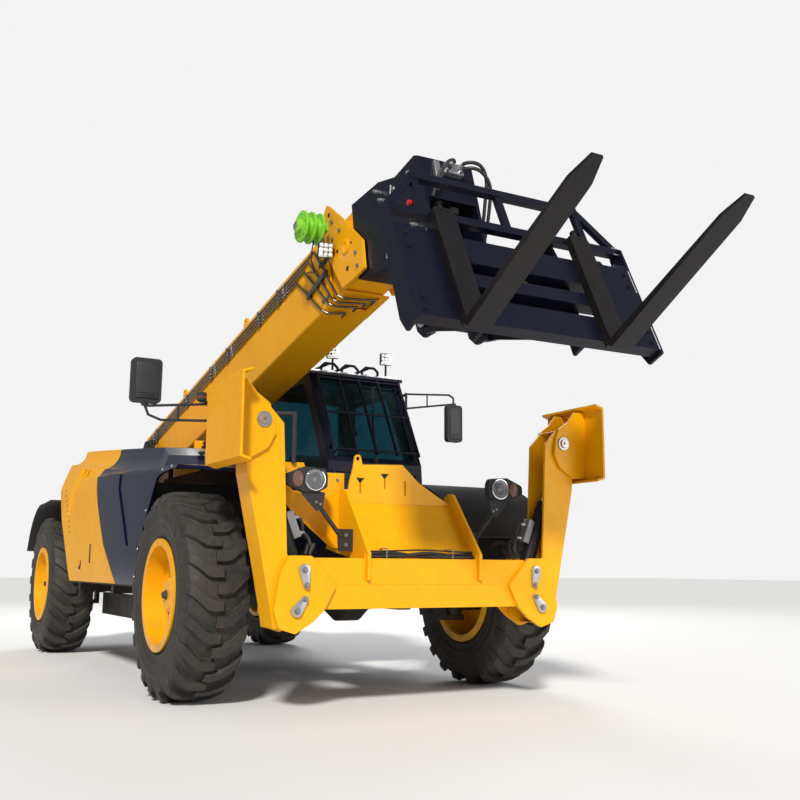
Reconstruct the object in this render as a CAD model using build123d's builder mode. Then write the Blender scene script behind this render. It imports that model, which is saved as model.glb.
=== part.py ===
from build123d import *
import os
from math import cos, hypot, radians, sin

# A telescopic handler: four steered wheels, a side cab, an engine pod, a rear-pivoted three-stage boom with a
# fork frame, and two folding stabiliser legs at the front.  Millimetres, +Z up, front towards -Y, left +X.
# Every Y below counts back from the front axle, and every height from the ground.

# ---------------------------------------------------------------- driving sizes
WHEELBASE = 3900
TRACK = 2140
TYRE_RADIUS = 620
TYRE_WIDTH = 390
RIM_BORE = 290            # inside of the rim's barrel
RIM_SEAT = 305            # bead seat of a 24 inch rim
RIM_FLANGE = 334
AXLE_HEIGHT = TYRE_RADIUS
FRONT_AXLE_Y = -949.5     # the front axle's place, ahead of the machine's middle

RUNNING = 0.05            # radial clearance of a pin in its bore
SEAT_GAP = 0.3            # between flat faces that slide or seat on each other
SIDE_GAP = 6              # sideways clearance of pieces that swing past each other

# chassis
BOOM_WIDTH = 350
FRAME_HALF = BOOM_WIDTH / 2 + 75    # outer faces of the two side plates
FRAME_PLATE = 25
FRAME_BOTTOM = 560
FRAME_TOP = 900
FRAME_REAR = WHEELBASE + 860
AXLE_NOTCH = 150          # half length of the opening over each axle
AXLE_SADDLE = 120         # from the axle's middle up to the frame

# axles
KINGPIN_INSET = 240       # from the wheel's middle in to the kingpin
KNUCKLE_HALF = 150
STEER_ARM = 215           # from the kingpin to the rod's eye
STEER_ROD_RADIUS = 20
HUB_FACE = 24             # the rim's disc sits this far outboard of the wheel's middle

# crossbeam and stabiliser legs
BEAM_FRONT = -1010
BEAM_DEPTH = 185
BEAM_BOTTOM = 565
BEAM_TOP = 840
BEAM_HALF = 700
BEAM_CHEEK = 25
LEG_PIN = (805, 560)      # across, up
LEG_PIN_RADIUS = 30
LEG_CYLINDER_PIN = (765, 775)
LEG_EYE_PIN = (965, 1290)
FOOT_PIN = (1010, 1570)
LEG_PLATE = 16
LEG_CLEAR = 8             # between the leg and the beam's cheeks
LIFTING_EYE = (-283, 1428)    # across, up

# boom: distances run along the boom from its pivot, heights square to it
BOOM_PIVOT = (4150, 1910)
BOOM_ANGLE = 12.3
BOOM_HEIGHT = 556
BOOM_WALL = 12
BOOM_PAD = 15             # wear-pad gap between two sections
BOOM_TAIL = -260
BOOM_FRONT = 4265
BELLY_FRONT = 4450        # end of the plate under the outer section's mouth
BELLY_SLOT = (4215, 4430)
BOOM_LUGS = (1000, 2650)
LUG_X = -150
PIVOT_RADIUS = 45
PIPE_RADIUS = 8
LIFT_FOOT = (3700, 1010)  # lift cylinder's foot pin: back, up
LIFT_EYE = (1800, -420)   # its eye on the boom: along, square
LIFT_RADIUS = 88
LIFT_EYE_HALF = 90        # half width of the foot eye
TILT_PIVOT = (-1350, 2150)
TILT_FOOT = (-510, 2985)
TILT_EYE = (-1330, 2560)
TILT_PIN_RADIUS = 40
TILT_PIN_HALF = 225
MID_FRONT = 4600
INNER_FRONT = 4700
HEAD_HALF = BOOM_WIDTH / 2 - 2 * (BOOM_WALL + BOOM_PAD) + 44

# fork frame
FRAME_FOOT = (-2200, 1908)
FRAME_LEAN = 25
FRAME_WIDTH = 1500
FRAME_DEPTH = 70
FORK_LENGTH = 1030
FORK_RISE = 78            # of the blade's tip over its heel, square to the frame
FORK_WIDTH = 125
FORK_SPREAD = 860
FORK_SHIFT = -25          # of the pair towards the right

# cab
CAB_LEFT = 1120
CAB_RIGHT = FRAME_HALF + 40
CAB_WALL = 45
CAB_FLOOR = 780
DOOR_HINGE_Y = 2225
DOOR_HINGE_OUT = 30
DOOR_HINGES = (1420, 1980)

# engine pod
POD_OUTER = -1220
POD_INNER = -FRAME_HALF - 40        # inner wall
POD_EDGE = -FRAME_HALF - 52         # the cover's inner edge
POD_HINGE_X = -FRAME_HALF - 30
POD_SKIN = 18
POD_BOTTOM = 665
POD_HINGE_Z = 1825
POD_HINGES = (2200, 3150)
SHUT_GAP = 12              # along the machine, between the fixed cover and the hinged one

SIDES = (("left", 1), ("right", -1))


# ---------------------------------------------------------------- planes and plain shapes
def at(x, y, z):
    """A point given across, back from the front axle and up."""
    return Vector(x, FRONT_AXLE_Y + y, z)


def side(x):
    """Upright lengthwise plane at x; draws (back, up), thickens towards +X."""
    return Plane(origin=at(x, 0, 0), x_dir=(0, 1, 0), z_dir=(1, 0, 0))


def across(y):
    """Upright crosswise plane at y; draws (across, up), thickens towards the front."""
    return Plane(origin=at(0, y, 0), x_dir=(1, 0, 0), z_dir=(0, -1, 0))


def level(z):
    """Level plane at height z; draws (across, back), thickens upwards."""
    return Plane(origin=at(0, 0, z), x_dir=(1, 0, 0), z_dir=(0, 0, 1))


def boom_side(x):
    """Lengthwise plane of the boom; draws (along, square), thickens towards -X."""
    a = radians(BOOM_ANGLE)
    return Plane(origin=at(x, *BOOM_PIVOT), x_dir=(0, -cos(a), sin(a)), z_dir=(-1, 0, 0))


def boom_section(along):
    """Plane square to the boom; draws (across, square), thickens towards the nose."""
    a = radians(BOOM_ANGLE)
    forward = Vector(0, -cos(a), sin(a))
    return Plane(origin=at(0, *BOOM_PIVOT) + forward * along, x_dir=(1, 0, 0), z_dir=forward)


def frame_side(x):
    """Lengthwise plane of the leaning fork frame; draws (forward, up), thickens towards -X."""
    a = radians(FRAME_LEAN)
    return Plane(origin=at(x, *FRAME_FOOT), x_dir=(0, -cos(a), sin(a)), z_dir=(-1, 0, 0))


def frame_face(forward):
    """Plane along the fork frame's face; draws (across, up), thickens forwards."""
    a = radians(FRAME_LEAN)
    normal = Vector(0, -cos(a), sin(a))
    return Plane(origin=at(0, *FRAME_FOOT) + normal * forward, x_dir=(1, 0, 0), z_dir=normal)


def boom_point(along, square):
    """A boom point as (back, up)."""
    a = radians(BOOM_ANGLE)
    back = BOOM_PIVOT[0] - along * cos(a) + square * sin(a)
    up = BOOM_PIVOT[1] + along * sin(a) + square * cos(a)
    return back, up


def plate(plane, outline, thickness, mode=Mode.ADD, rounding=0):
    """A flat plate with a straight-sided outline and rounded corners."""
    with BuildSketch(plane) as face:
        with BuildLine():
            Polyline(*outline, close=True)
        make_face()
        if rounding:
            fillet(face.vertices(), rounding)
    extrude(face.sketch, amount=thickness, mode=mode)


def block(x, y, z, mode=Mode.ADD):
    """A square block between two values each of x, y and z."""
    with BuildSketch(level(z[0])) as face:
        with Locations(((x[0] + x[1]) / 2, (y[0] + y[1]) / 2)):
            Rectangle(x[1] - x[0], y[1] - y[0])
    extrude(face.sketch, amount=z[1] - z[0], mode=mode)


def disc(plane, centre, radius, thickness, mode=Mode.ADD, hole=0):
    """A round boss, pin or bore, with a hole if one is given."""
    with BuildSketch(plane) as face:
        with Locations(centre):
            Circle(radius)
            if hole:
                Circle(hole, mode=Mode.SUBTRACT)
    extrude(face.sketch, amount=thickness, mode=mode)


def bar(start, end, radius, mode=Mode.ADD):
    """A round bar between two points."""
    run = end - start
    with BuildSketch(Plane(origin=start, z_dir=run)) as face:
        Circle(radius)
    extrude(face.sketch, amount=run.length, mode=mode)


def tube_run(points, radius):
    """A bent tube through a list of points, with round elbows."""
    for start, end in zip(points, points[1:]):
        bar(start, end, radius)
    for corner in points[1:-1]:
        with Locations(corner):
            Sphere(radius)


def save(piece, node):
    """Label a finished piece and write its file."""
    piece.part.label = node
    export_step(piece.part, f"parts/{node}.step")


def save_pair(piece, name):
    """Write a piece made on the left, and its mirror image on the right."""
    save(piece, f"{name}_left")
    with BuildPart() as other:
        mirror(piece.part, about=Plane.YZ)
    save(other, f"{name}_right")


os.makedirs("parts", exist_ok=True)
plate_inner = FRAME_HALF - FRAME_PLATE
beam_back = BEAM_FRONT + BEAM_DEPTH


# ---------------------------------------------------------------- chassis
def chassis():
    """Two side plates with rear towers, cross members, outriggers and the boom's pivot pin."""
    pivot_y, pivot_z = BOOM_PIVOT
    side_outline = (
        (beam_back, FRAME_BOTTOM), (beam_back, BEAM_TOP), (-560, FRAME_TOP), (2900, FRAME_TOP),
        (3560, 1300), (pivot_y - 200, pivot_z + 60), (pivot_y - 110, pivot_z + 150),
        (pivot_y + 110, pivot_z + 150), (pivot_y + 200, pivot_z + 60), (FRAME_REAR - 160, 1250),
        (FRAME_REAR, 1150), (FRAME_REAR, FRAME_BOTTOM),
    )
    cross_members = (  # back from, back to, bottom, top
        (beam_back, beam_back + 20, FRAME_BOTTOM, BEAM_TOP),
        (900, 960, FRAME_BOTTOM, 860),
        (2460, 2520, FRAME_BOTTOM, 860),
        (3180, 3240, FRAME_BOTTOM, 860),
        (3620, 3780, 830, 880),
        (FRAME_REAR - 25, FRAME_REAR, FRAME_BOTTOM, 1150),
    )
    outriggers = (  # side, back from, back to, reach across, bottom, top
        (1, 980, 1050, CAB_LEFT - 20, 650, CAB_FLOOR - 45),
        (1, 2200, 2270, CAB_LEFT - 20, 650, CAB_FLOOR - 45),
        (-1, 1480, 1550, -POD_OUTER - 60, 590, 650),
        (-1, 2600, 2670, -POD_OUTER - 60, 590, 650),
    )
    with BuildPart() as frame:
        for x in (-FRAME_HALF, plate_inner):
            plate(side(x), side_outline, FRAME_PLATE)
        for y, arm_side in ((0, 1), (WHEELBASE, -1)):
            block((-FRAME_HALF, FRAME_HALF), (y - AXLE_NOTCH, y + AXLE_NOTCH),
                  (FRAME_BOTTOM, AXLE_HEIGHT + AXLE_SADDLE), Mode.SUBTRACT)
            disc(side(-FRAME_HALF), (y + arm_side * STEER_ARM, AXLE_HEIGHT), 62, 2 * FRAME_HALF, Mode.SUBTRACT)
        for back, rear, bottom, top in cross_members:
            block((-plate_inner, plate_inner), (back, rear), (bottom, top))
        block((-plate_inner, plate_inner), (960, 2460), (FRAME_BOTTOM, FRAME_BOTTOM + 12))
        for hand, back, rear, reach, bottom, top in outriggers:
            inner, outer = sorted((hand * FRAME_HALF, hand * reach))
            block((inner, outer), (back, rear), (bottom, top))
        block((-870, -820), (1700, 3050), (380, 560))
        for back, top in ((1700, 650), (2600, 600)):
            block((-870, -820), (back, back + 60), (560, top))
        for x in (-FRAME_HALF - 20, plate_inner - 15):
            disc(side(x), BOOM_PIVOT, 110, 60)
        disc(side(-FRAME_HALF - 30), BOOM_PIVOT, PIVOT_RADIUS, 2 * FRAME_HALF + 60)
        foot_y, foot_z = LIFT_FOOT
        for x in (-LIFT_EYE_HALF - SIDE_GAP - 20, LIFT_EYE_HALF + SIDE_GAP):
            plate(side(x), ((foot_y - 140, 860), (foot_y - 50, foot_z + 50), (foot_y + 50, foot_z + 50),
                            (foot_y + 80, 860)), 20, rounding=20)
        disc(side(-LIFT_EYE_HALF - SIDE_GAP - 24), LIFT_FOOT, 30, 2 * (LIFT_EYE_HALF + SIDE_GAP + 24))
    return frame


def crossbeam():
    """The box beam across the front, its cheeks and the four leg pins."""
    cheek = (
        (572, 689), (719, 850), (850, 850), (900, 740), (930, 560),
        (900, 470), (805, 440), (705, 500), (640, 560),
    )
    with BuildPart() as beam:
        block((-BEAM_HALF, BEAM_HALF), (BEAM_FRONT, beam_back), (BEAM_BOTTOM, BEAM_TOP))
        for hand in (1, -1):
            outline = [(hand * x, z) for x, z in cheek]
            plate(across(BEAM_FRONT), outline, BEAM_CHEEK, rounding=18)
            plate(across(beam_back + BEAM_CHEEK), outline, BEAM_CHEEK, rounding=18)
            for pin_x, pin_z in (LEG_PIN, LEG_CYLINDER_PIN):
                disc(across(beam_back + BEAM_CHEEK), (hand * pin_x, pin_z), LEG_PIN_RADIUS,
                     BEAM_DEPTH + 2 * BEAM_CHEEK + 14)
    return beam


def front_bracket():
    """Two gussets, a leaning front plate, the pierced lifting plate over the beam and the side cowl."""
    gusset = (
        (BEAM_FRONT - 25, 720), (BEAM_FRONT - 25, 870), (-770, 1195), (-735, 1238), (-690, 1245), (-640, 1225),
        (-480, FRAME_TOP), (beam_back, BEAM_TOP), (BEAM_FRONT, BEAM_TOP), (BEAM_FRONT, 720),
    )
    slope = ((-955, BEAM_TOP + 1), (-715, 1165), (-702, 1158), (-940, BEAM_TOP + 1))
    lifting = (
        (-362, 1130), (-333, 1299), (-313, 1371), (-303, 1440), (-292, 1452), (-274, 1452), (-264, 1440),
        (-253, 1395), (21, 1408), (135, 1303), (293, 1211), (370, 1175), (370, 1130),
    )
    cowl = (
        (-765, 1225), (-765, 1375), (-745, 1388), (-610, 1392), (-598, 1360), (-480, 1340), (-345, 1342),
        (-345, FRAME_TOP), (-420, FRAME_TOP), (-560, 1010), (-690, 1120),
    )
    with BuildPart() as bracket:
        for x in (-380, 360):
            plate(side(x), gusset, 20)
        plate(side(-360), slope, 720)
        plate(across(-690), lifting, 16)
        plate(across(-640), cowl, 10)
        for x, top, half in ((-265, 1315, 30), (-100, 1347, 31), (41, 1310, 5)):
            plate(across(-690), ((x - half, top), (x + half, top), (x + 5, top - 32), (x + 5, top - 92),
                                 (x - 5, top - 92), (x - 5, top - 32)), 16, Mode.SUBTRACT)
        disc(across(-690), LIFTING_EYE, 13, 16, Mode.SUBTRACT)
    return bracket


def axle(y, arm_side):
    """Axle housing: round centre, tapered arms, kingpin forks, frame saddles and the steering cylinder."""
    kingpin = TRACK / 2 - KINGPIN_INSET
    rod_y = y + arm_side * STEER_ARM
    profile = (
        (0, 175), (70, 175), (150, 105), (kingpin - 190, 76), (kingpin - 150, 84),
        (kingpin - 85, 84), (kingpin - 85, 0), (0, 0),
    )
    with BuildPart() as housing:
        for hand in (1, -1):
            with BuildSketch(Plane(origin=at(0, y, AXLE_HEIGHT), x_dir=(hand, 0, 0), z_dir=(0, -hand, 0))) as half:
                with BuildLine():
                    Polyline(*profile, close=True)
                make_face()
            revolve(half.sketch, axis=Axis(at(0, y, AXLE_HEIGHT), (hand, 0, 0)))
            ear_low, ear_high = sorted((hand * (kingpin - 110), hand * (kingpin + 55)))
            for up in (1, -1):
                bottom, top = sorted((AXLE_HEIGHT + up * KNUCKLE_HALF, AXLE_HEIGHT + up * (KNUCKLE_HALF + 34)))
                block((ear_low, ear_high), (y - 55, y + 55), (bottom, top))
            web_low, web_high = sorted((hand * (kingpin - 110), hand * (kingpin - 84)))
            block((web_low, web_high), (y - 55, y + 55),
                  (AXLE_HEIGHT - KNUCKLE_HALF, AXLE_HEIGHT + KNUCKLE_HALF))
        for x in (-FRAME_HALF, plate_inner):
            block((x, x + FRAME_PLATE), (y - 120, y + 120), (AXLE_HEIGHT - 60, AXLE_HEIGHT + AXLE_SADDLE))
        disc(side(-180), (rod_y, AXLE_HEIGHT), 48, 360)
        disc(side(-180), (rod_y, AXLE_HEIGHT), STEER_ROD_RADIUS + RUNNING, 360, Mode.SUBTRACT)
    return housing


def knuckle(y, arm_side):
    """Steering knuckle on the left: kingpins, body, spindle and steering arm."""
    kingpin = TRACK / 2 - KINGPIN_INSET
    with BuildPart() as piece:
        disc(level(AXLE_HEIGHT - KNUCKLE_HALF + SEAT_GAP), (kingpin, y), 62, 2 * (KNUCKLE_HALF - SEAT_GAP))
        disc(side(kingpin), (y, AXLE_HEIGHT), 120, TRACK / 2 + HUB_FACE - 60 - kingpin)
        disc(side(TRACK / 2 + HUB_FACE - 60), (y, AXLE_HEIGHT), 60, 60 - SEAT_GAP)
        arm_end = y + arm_side * STEER_ARM
        near, far = sorted((y + arm_side * 40, arm_end + arm_side * 28))
        block((kingpin - 15, kingpin + 35), (near, far), (AXLE_HEIGHT + 20, AXLE_HEIGHT + 50))
    return piece


def steering_rod(y, arm_side):
    """Sliding rod of the steering cylinder with a link to each knuckle's arm."""
    kingpin = TRACK / 2 - KINGPIN_INSET
    rod_y = y + arm_side * STEER_ARM
    with BuildPart() as rod:
        bar(at(-kingpin + 20, rod_y, AXLE_HEIGHT), at(kingpin - 20, rod_y, AXLE_HEIGHT), STEER_ROD_RADIUS)
        for hand in (1, -1):
            disc(level(AXLE_HEIGHT - 22), (hand * kingpin, rod_y), 30, 41)
    return rod


def rim(x_wheel, y):
    """Deep dished steel rim with its hub flange and planetary hub cap, on the left."""
    half = TYRE_WIDTH / 2 - 8
    barrel = (
        (-half, RIM_BORE), (-half, RIM_FLANGE), (-half + 14, RIM_FLANGE), (-half + 20, RIM_SEAT),
        (half - 20, RIM_SEAT), (half - 14, RIM_FLANGE), (half, RIM_FLANGE), (half, RIM_BORE),
        (HUB_FACE + 40, RIM_BORE - 14), (HUB_FACE + 16, 210), (HUB_FACE + 16, 150), (HUB_FACE + 36, 150),
        (HUB_FACE + 36, 105), (HUB_FACE + 90, 105), (HUB_FACE + 106, 88), (HUB_FACE + 106, 0), (HUB_FACE, 0),
        (HUB_FACE, 215), (HUB_FACE + 16, RIM_BORE - 14), (-half + 20, RIM_BORE - 8),
    )
    with BuildPart() as wheel:
        with BuildSketch(Plane(origin=at(x_wheel, y, AXLE_HEIGHT), x_dir=(1, 0, 0), z_dir=(0, -1, 0))) as half_section:
            with BuildLine():
                Polyline(*barrel, close=True)
            make_face()
        revolve(half_section.sketch, axis=Axis(at(x_wheel, y, AXLE_HEIGHT), (1, 0, 0)))
    return wheel


def tyre(x_wheel, y):
    """Tyre carcass with rounded shoulders, from bead to tread."""
    half = TYRE_WIDTH / 2
    with BuildPart() as ring:
        with BuildSketch(Plane(origin=at(x_wheel, y, AXLE_HEIGHT), x_dir=(1, 0, 0), z_dir=(0, -1, 0))) as section:
            with BuildLine():
                Polyline((-half + 30, RIM_SEAT), (-half + 30, RIM_FLANGE), (-half, 440), (-half + 8, 560))
                ThreePointArc((-half + 8, 560), (-half + 26, 594), (-half + 60, 608))
                ThreePointArc((-half + 60, 608), (0, TYRE_RADIUS), (half - 60, 608))
                ThreePointArc((half - 60, 608), (half - 26, 594), (half - 8, 560))
                Polyline((half - 8, 560), (half, 440), (half - 30, RIM_FLANGE), (half - 30, RIM_SEAT),
                         (-half + 30, RIM_SEAT))
            make_face()
        revolve(section.sketch, axis=Axis(at(x_wheel, y, AXLE_HEIGHT), (1, 0, 0)))
    return ring


save(chassis(), "chassis_frame")
save(crossbeam(), "front_crossbeam")
save(front_bracket(), "front_bracket")

for end, axle_y, arm_side in (("front", 0, 1), ("rear", WHEELBASE, -1)):
    save(axle(axle_y, arm_side), f"{end}_axle")
    save(steering_rod(axle_y, arm_side), f"{end}_steering_rod")
    save_pair(knuckle(axle_y, arm_side), f"{end}_knuckle")
    save_pair(rim(TRACK / 2, axle_y), f"{end}_rim")
    save_pair(tyre(TRACK / 2, axle_y), f"{end}_tyre")


# ---------------------------------------------------------------- stabiliser legs
def cylinder_barrel(plane, foot, eye, share, radius, eye_radius, width, bore, bottom):
    """Barrel of a cylinder from its foot eye towards the rod's eye, hollow from the given bottom on."""
    length = hypot(eye[0] - foot[0], eye[1] - foot[1])
    axis_point = plane.from_local_coords((*foot, 0))
    along = (plane.from_local_coords((*eye, 0)) - axis_point).normalized()
    with BuildPart() as barrel:
        disc(plane.offset(-width / 2), foot, eye_radius, width)
        with BuildSketch(Plane(origin=axis_point + along * eye_radius * 0.6, z_dir=along)) as tube:
            Circle(radius)
        extrude(tube.sketch, amount=length * share - eye_radius * 0.6)
        with BuildSketch(Plane(origin=axis_point + along * bottom, z_dir=along)) as hollow:
            Circle(radius * 0.55 + RUNNING)
        extrude(hollow.sketch, amount=length * share, mode=Mode.SUBTRACT)
        disc(plane.offset(-width / 2), foot, bore + RUNNING, width, Mode.SUBTRACT)
    return barrel


def cylinder_rod(plane, foot, eye, start, radius, eye_radius, width):
    """Rod of a cylinder with its eye."""
    length = hypot(eye[0] - foot[0], eye[1] - foot[1])
    axis_point = plane.from_local_coords((*foot, 0))
    along = (plane.from_local_coords((*eye, 0)) - axis_point).normalized()
    with BuildPart() as rod:
        with BuildSketch(Plane(origin=axis_point + along * start, z_dir=along)) as shaft:
            Circle(radius * 0.55)
        extrude(shaft.sketch, amount=length - start - eye_radius * 0.6)
        disc(plane.offset(-width / 2), eye, eye_radius, width, hole=eye_radius * 0.5)
    return rod


def leg():
    """Left stabiliser leg: a channel open inwards, with the foot's pin."""
    inner_edge = ((1040, 1655), (975, 1655), (885, 1560), (850, 860), (735, 625), (712, 545), (716, 515),
                  (745, 484), (785, 466))
    outer_edge = ((922, 470), (930, 530), (990, 820), (1090, 1285), (1100, 1500), (1075, 1640))
    front = BEAM_FRONT + LEG_CLEAR
    back = beam_back - LEG_CLEAR
    hollow = [(x - 120, z) for x, z in inner_edge] + [(x - LEG_PLATE, z) for x, z in outer_edge]
    with BuildPart() as piece:
        plate(across(back), inner_edge + outer_edge, back - front, rounding=8)
        plate(across(back - LEG_PLATE), hollow, back - front - 2 * LEG_PLATE, Mode.SUBTRACT)
        disc(across(back), LEG_PIN, LEG_PIN_RADIUS + RUNNING, back - front, Mode.SUBTRACT)
        disc(across(back + 40), FOOT_PIN, 26, back - front + 80)
    return piece


def foot():
    """Left foot: sole plate with bent lips, and a cheek each side of the leg."""
    cheek = ((1188, 1360), (1188, 1780), (1108, 1779), (1055, 1714), (979, 1661), (954, 1592), (940, 1500),
             (983, 1418), (1093, 1352))
    front = BEAM_FRONT + LEG_CLEAR
    back = beam_back - LEG_CLEAR
    middle = (front + back) / 2
    sole = ((1140, 1800), (1188, 1785), (1188, 1355), (1140, 1340), (1140, 1326), (1202, 1345), (1202, 1795),
            (1140, 1814))
    with BuildPart() as piece:
        plate(across(middle + 275), sole, 550)
        for y in (back + SIDE_GAP + LEG_PLATE, front - SIDE_GAP):
            plate(across(y), cheek, LEG_PLATE, rounding=8)
            disc(across(y), FOOT_PIN, 26 + RUNNING, LEG_PLATE, Mode.SUBTRACT)
    return piece


leg_plane = across(BEAM_FRONT + BEAM_DEPTH / 2)
save_pair(leg(), "leg")
save_pair(foot(), "foot")
save_pair(cylinder_barrel(leg_plane, LEG_CYLINDER_PIN, LEG_EYE_PIN, 0.82, 42, 50, 90, LEG_PIN_RADIUS, 80),
          "leg_cylinder")
save_pair(cylinder_rod(leg_plane, LEG_CYLINDER_PIN, LEG_EYE_PIN, 100, 42, 34, 60), "leg_rod")


# ---------------------------------------------------------------- boom
def box_section(start, end, width, height, wall):
    """A hollow boom section with rounded corners, open at its nose."""
    with BuildSketch(boom_section(start)) as profile:
        RectangleRounded(width, height, 22)
        RectangleRounded(width - 2 * wall, height - 2 * wall, 10, mode=Mode.SUBTRACT)
    extrude(profile.sketch, amount=end - start)


def wear_pads(front, width, height):
    """Four pads inside a section's mouth, which the next section slides on."""
    run = 160
    for across_pad in (1, -1):
        with BuildSketch(boom_section(front - run)) as cheek_pad:
            with Locations((across_pad * (width / 2 + (BOOM_PAD + SEAT_GAP) / 2), 0)):
                Rectangle(BOOM_PAD - SEAT_GAP, height * 0.5)
            with Locations((0, across_pad * (height / 2 + (BOOM_PAD + SEAT_GAP) / 2))):
                Rectangle(width * 0.6, BOOM_PAD - SEAT_GAP)
        extrude(cheek_pad.sketch, amount=run)


mid_width = BOOM_WIDTH - 2 * BOOM_WALL - 2 * BOOM_PAD
mid_height = BOOM_HEIGHT - 2 * BOOM_WALL - 2 * BOOM_PAD
inner_width = mid_width - 2 * BOOM_WALL - 2 * BOOM_PAD
inner_height = mid_height - 2 * BOOM_WALL - 2 * BOOM_PAD


def boom_outer():
    """Outer section with the pivot tube, the lift cylinder's ears, two lifting lugs and the belly plate."""
    ear = ((LIFT_EYE[0] - 260, -BOOM_HEIGHT / 2 + 4), (LIFT_EYE[0] - 60, LIFT_EYE[1] - 60),
           (LIFT_EYE[0] + 60, LIFT_EYE[1] - 60), (LIFT_EYE[0] + 260, -BOOM_HEIGHT / 2 + 4))
    with BuildPart() as boom:
        box_section(BOOM_TAIL, BOOM_FRONT, BOOM_WIDTH, BOOM_HEIGHT, BOOM_WALL)
        wear_pads(BOOM_FRONT - 70, mid_width, mid_height)
        belly = -BOOM_HEIGHT / 2
        plate(boom_side(HEAD_HALF), ((4100, belly), (BELLY_FRONT, belly), (BELLY_FRONT, belly + BOOM_WALL),
                                     (4100, belly + BOOM_WALL)), 2 * HEAD_HALF)
        plate(boom_side(105), ((BELLY_SLOT[0], belly), (BELLY_SLOT[1], belly), (BELLY_SLOT[1], belly + BOOM_WALL),
                               (BELLY_SLOT[0], belly + BOOM_WALL)), 210, Mode.SUBTRACT)
        disc(boom_side(BOOM_WIDTH / 2 + 20), (0, 0), 95, BOOM_WIDTH + 40)
        disc(boom_side(BOOM_WIDTH / 2 + 20), (0, 0), PIVOT_RADIUS + RUNNING, BOOM_WIDTH + 40, Mode.SUBTRACT)
        for x in (90, -60):
            plate(boom_side(x), ear, 30, rounding=18)
        for along in BOOM_LUGS:
            lug = ((along - 60, BOOM_HEIGHT / 2 - 4), (along - 25, BOOM_HEIGHT / 2 + 70),
                   (along + 25, BOOM_HEIGHT / 2 + 70), (along + 60, BOOM_HEIGHT / 2 - 4))
            plate(boom_side(LUG_X + 10), lug, 20, rounding=14)
            disc(boom_side(LUG_X + 10), (along, BOOM_HEIGHT / 2 + 38), 16, 20, Mode.SUBTRACT)
    return boom


def boom_mid():
    """Middle section with the two cheeks of its head, stood off so that the next head passes between."""
    cheek = ((4466, -268), (4640, -279), (4780, -279), (4784, -76), (4500, 267), (4342, 435), (4290, 400),
             (4290, 60))
    spacer = ((4330, 0), (4470, -230), (MID_FRONT - 10, -230), (MID_FRONT - 10, 180), (4330, 180))
    with BuildPart() as boom:
        box_section(600, MID_FRONT, mid_width, mid_height, BOOM_WALL)
        wear_pads(MID_FRONT - 10, inner_width, inner_height)
        for hand in (1, -1):
            outer = hand * (HEAD_HALF + 10)
            plate(boom_side(max(outer, outer + hand * 20)), cheek, 20, rounding=12)
            plate(boom_side(max(outer, hand * mid_width / 2)), spacer, HEAD_HALF + 10 - mid_width / 2)
    return boom


def boom_inner():
    """Innermost section, up to the black head."""
    with BuildPart() as boom:
        box_section(850, INNER_FRONT, inner_width, inner_height, BOOM_WALL)
    return boom


def boom_head():
    """Goose-neck head: a box round the inner section's end, two deep neck plates and the frame's pivot pin."""
    rear_top = boom_point(INNER_FRONT - 60, 268)
    rear_low = boom_point(INNER_FRONT - 60, -285)
    box_side = (rear_low, rear_top, (-700, 3190), (-1060, 3120), (-1060, 2600), (-860, 2590))
    neck = (
        (-860, 2600), (-900, 3120), (-1180, 3185), (-1235, 3165), (-1400, 2620), (-1440, 2140),
        (-1400, 2070), (-1300, 2060), (-1230, 2110), (-1040, 2520),
    )
    with BuildPart() as head:
        for hand in (1, -1):
            inner, outer = hand * (HEAD_HALF - 20), hand * HEAD_HALF
            plate(side(min(inner, outer)), box_side, 20)
            plate(side(min(outer, outer + hand * 20)), neck, 20, rounding=15)
        top = (rear_top, (-700, 3190), (-700, 3176), (rear_top[0], rear_top[1] - 14))
        low = (rear_low, (-860, 2590), (-860, 2604), (rear_low[0], rear_low[1] + 14))
        for strip in (top, low):
            plate(side(-HEAD_HALF + 20), strip, 2 * (HEAD_HALF - 20))
        front = ((-900, 3106), (-900, 3120), (-1180, 3185), (-1235, 3165), (-1320, 2890), (-1306, 2890),
                 (-1225, 3150), (-1180, 3170))
        plate(side(-HEAD_HALF), front, 2 * HEAD_HALF)
        for hand in (1, -1):
            inner, outer = sorted((hand * inner_width / 2, hand * (HEAD_HALF - 20)))
            pad = [boom_point(along, square) for along, square in
                   ((INNER_FRONT - 55, -180), (INNER_FRONT, -180), (INNER_FRONT, 180), (INNER_FRONT - 55, 180))]
            plate(side(inner), pad, outer - inner)
        disc(side(-TILT_PIN_HALF), TILT_PIVOT, TILT_PIN_RADIUS, 2 * TILT_PIN_HALF)
        disc(side(-HEAD_HALF + 20), TILT_FOOT, 25, 2 * (HEAD_HALF - 20))
    return head


def boom_pipes():
    """Four steel pipes along the outer section's right side, down and round to the slot in its belly."""
    wall = BOOM_WIDTH / 2
    pipes = (  # square, bend at, belly reached at, across in the slot
        (215, 4070, 4370, 70),
        (185, 3970, 4305, 35),
        (155, 3880, 4240, 0),
        (125, 3750, 4130, -35),
    )
    clamps = (150, 1150, 1835, 2270, 3000, 3400)
    with BuildPart() as piece:
        for square, bend, low, inward in pipes:
            corners = ((-wall - 12, -100, square), (-wall - 12, bend, square), (-wall - 12, low, -275),
                       (-wall + 25, low + 20, -300), (inward, low + 50, -296), (inward, low - 15, -296))
            tube_run([boom_section(along).from_local_coords((x, high, 0)) for x, along, high in corners], PIPE_RADIUS)
        for along in clamps:
            with BuildSketch(boom_section(along)) as clamp:
                with Locations((-wall - 12, 170)):
                    Rectangle(24, 124)
            extrude(clamp.sketch, amount=30)
        plate(boom_side(-wall), ((4240, -12), (4240, -48), (3920, -93), (3920, -57)), 24)
    return piece


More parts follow.
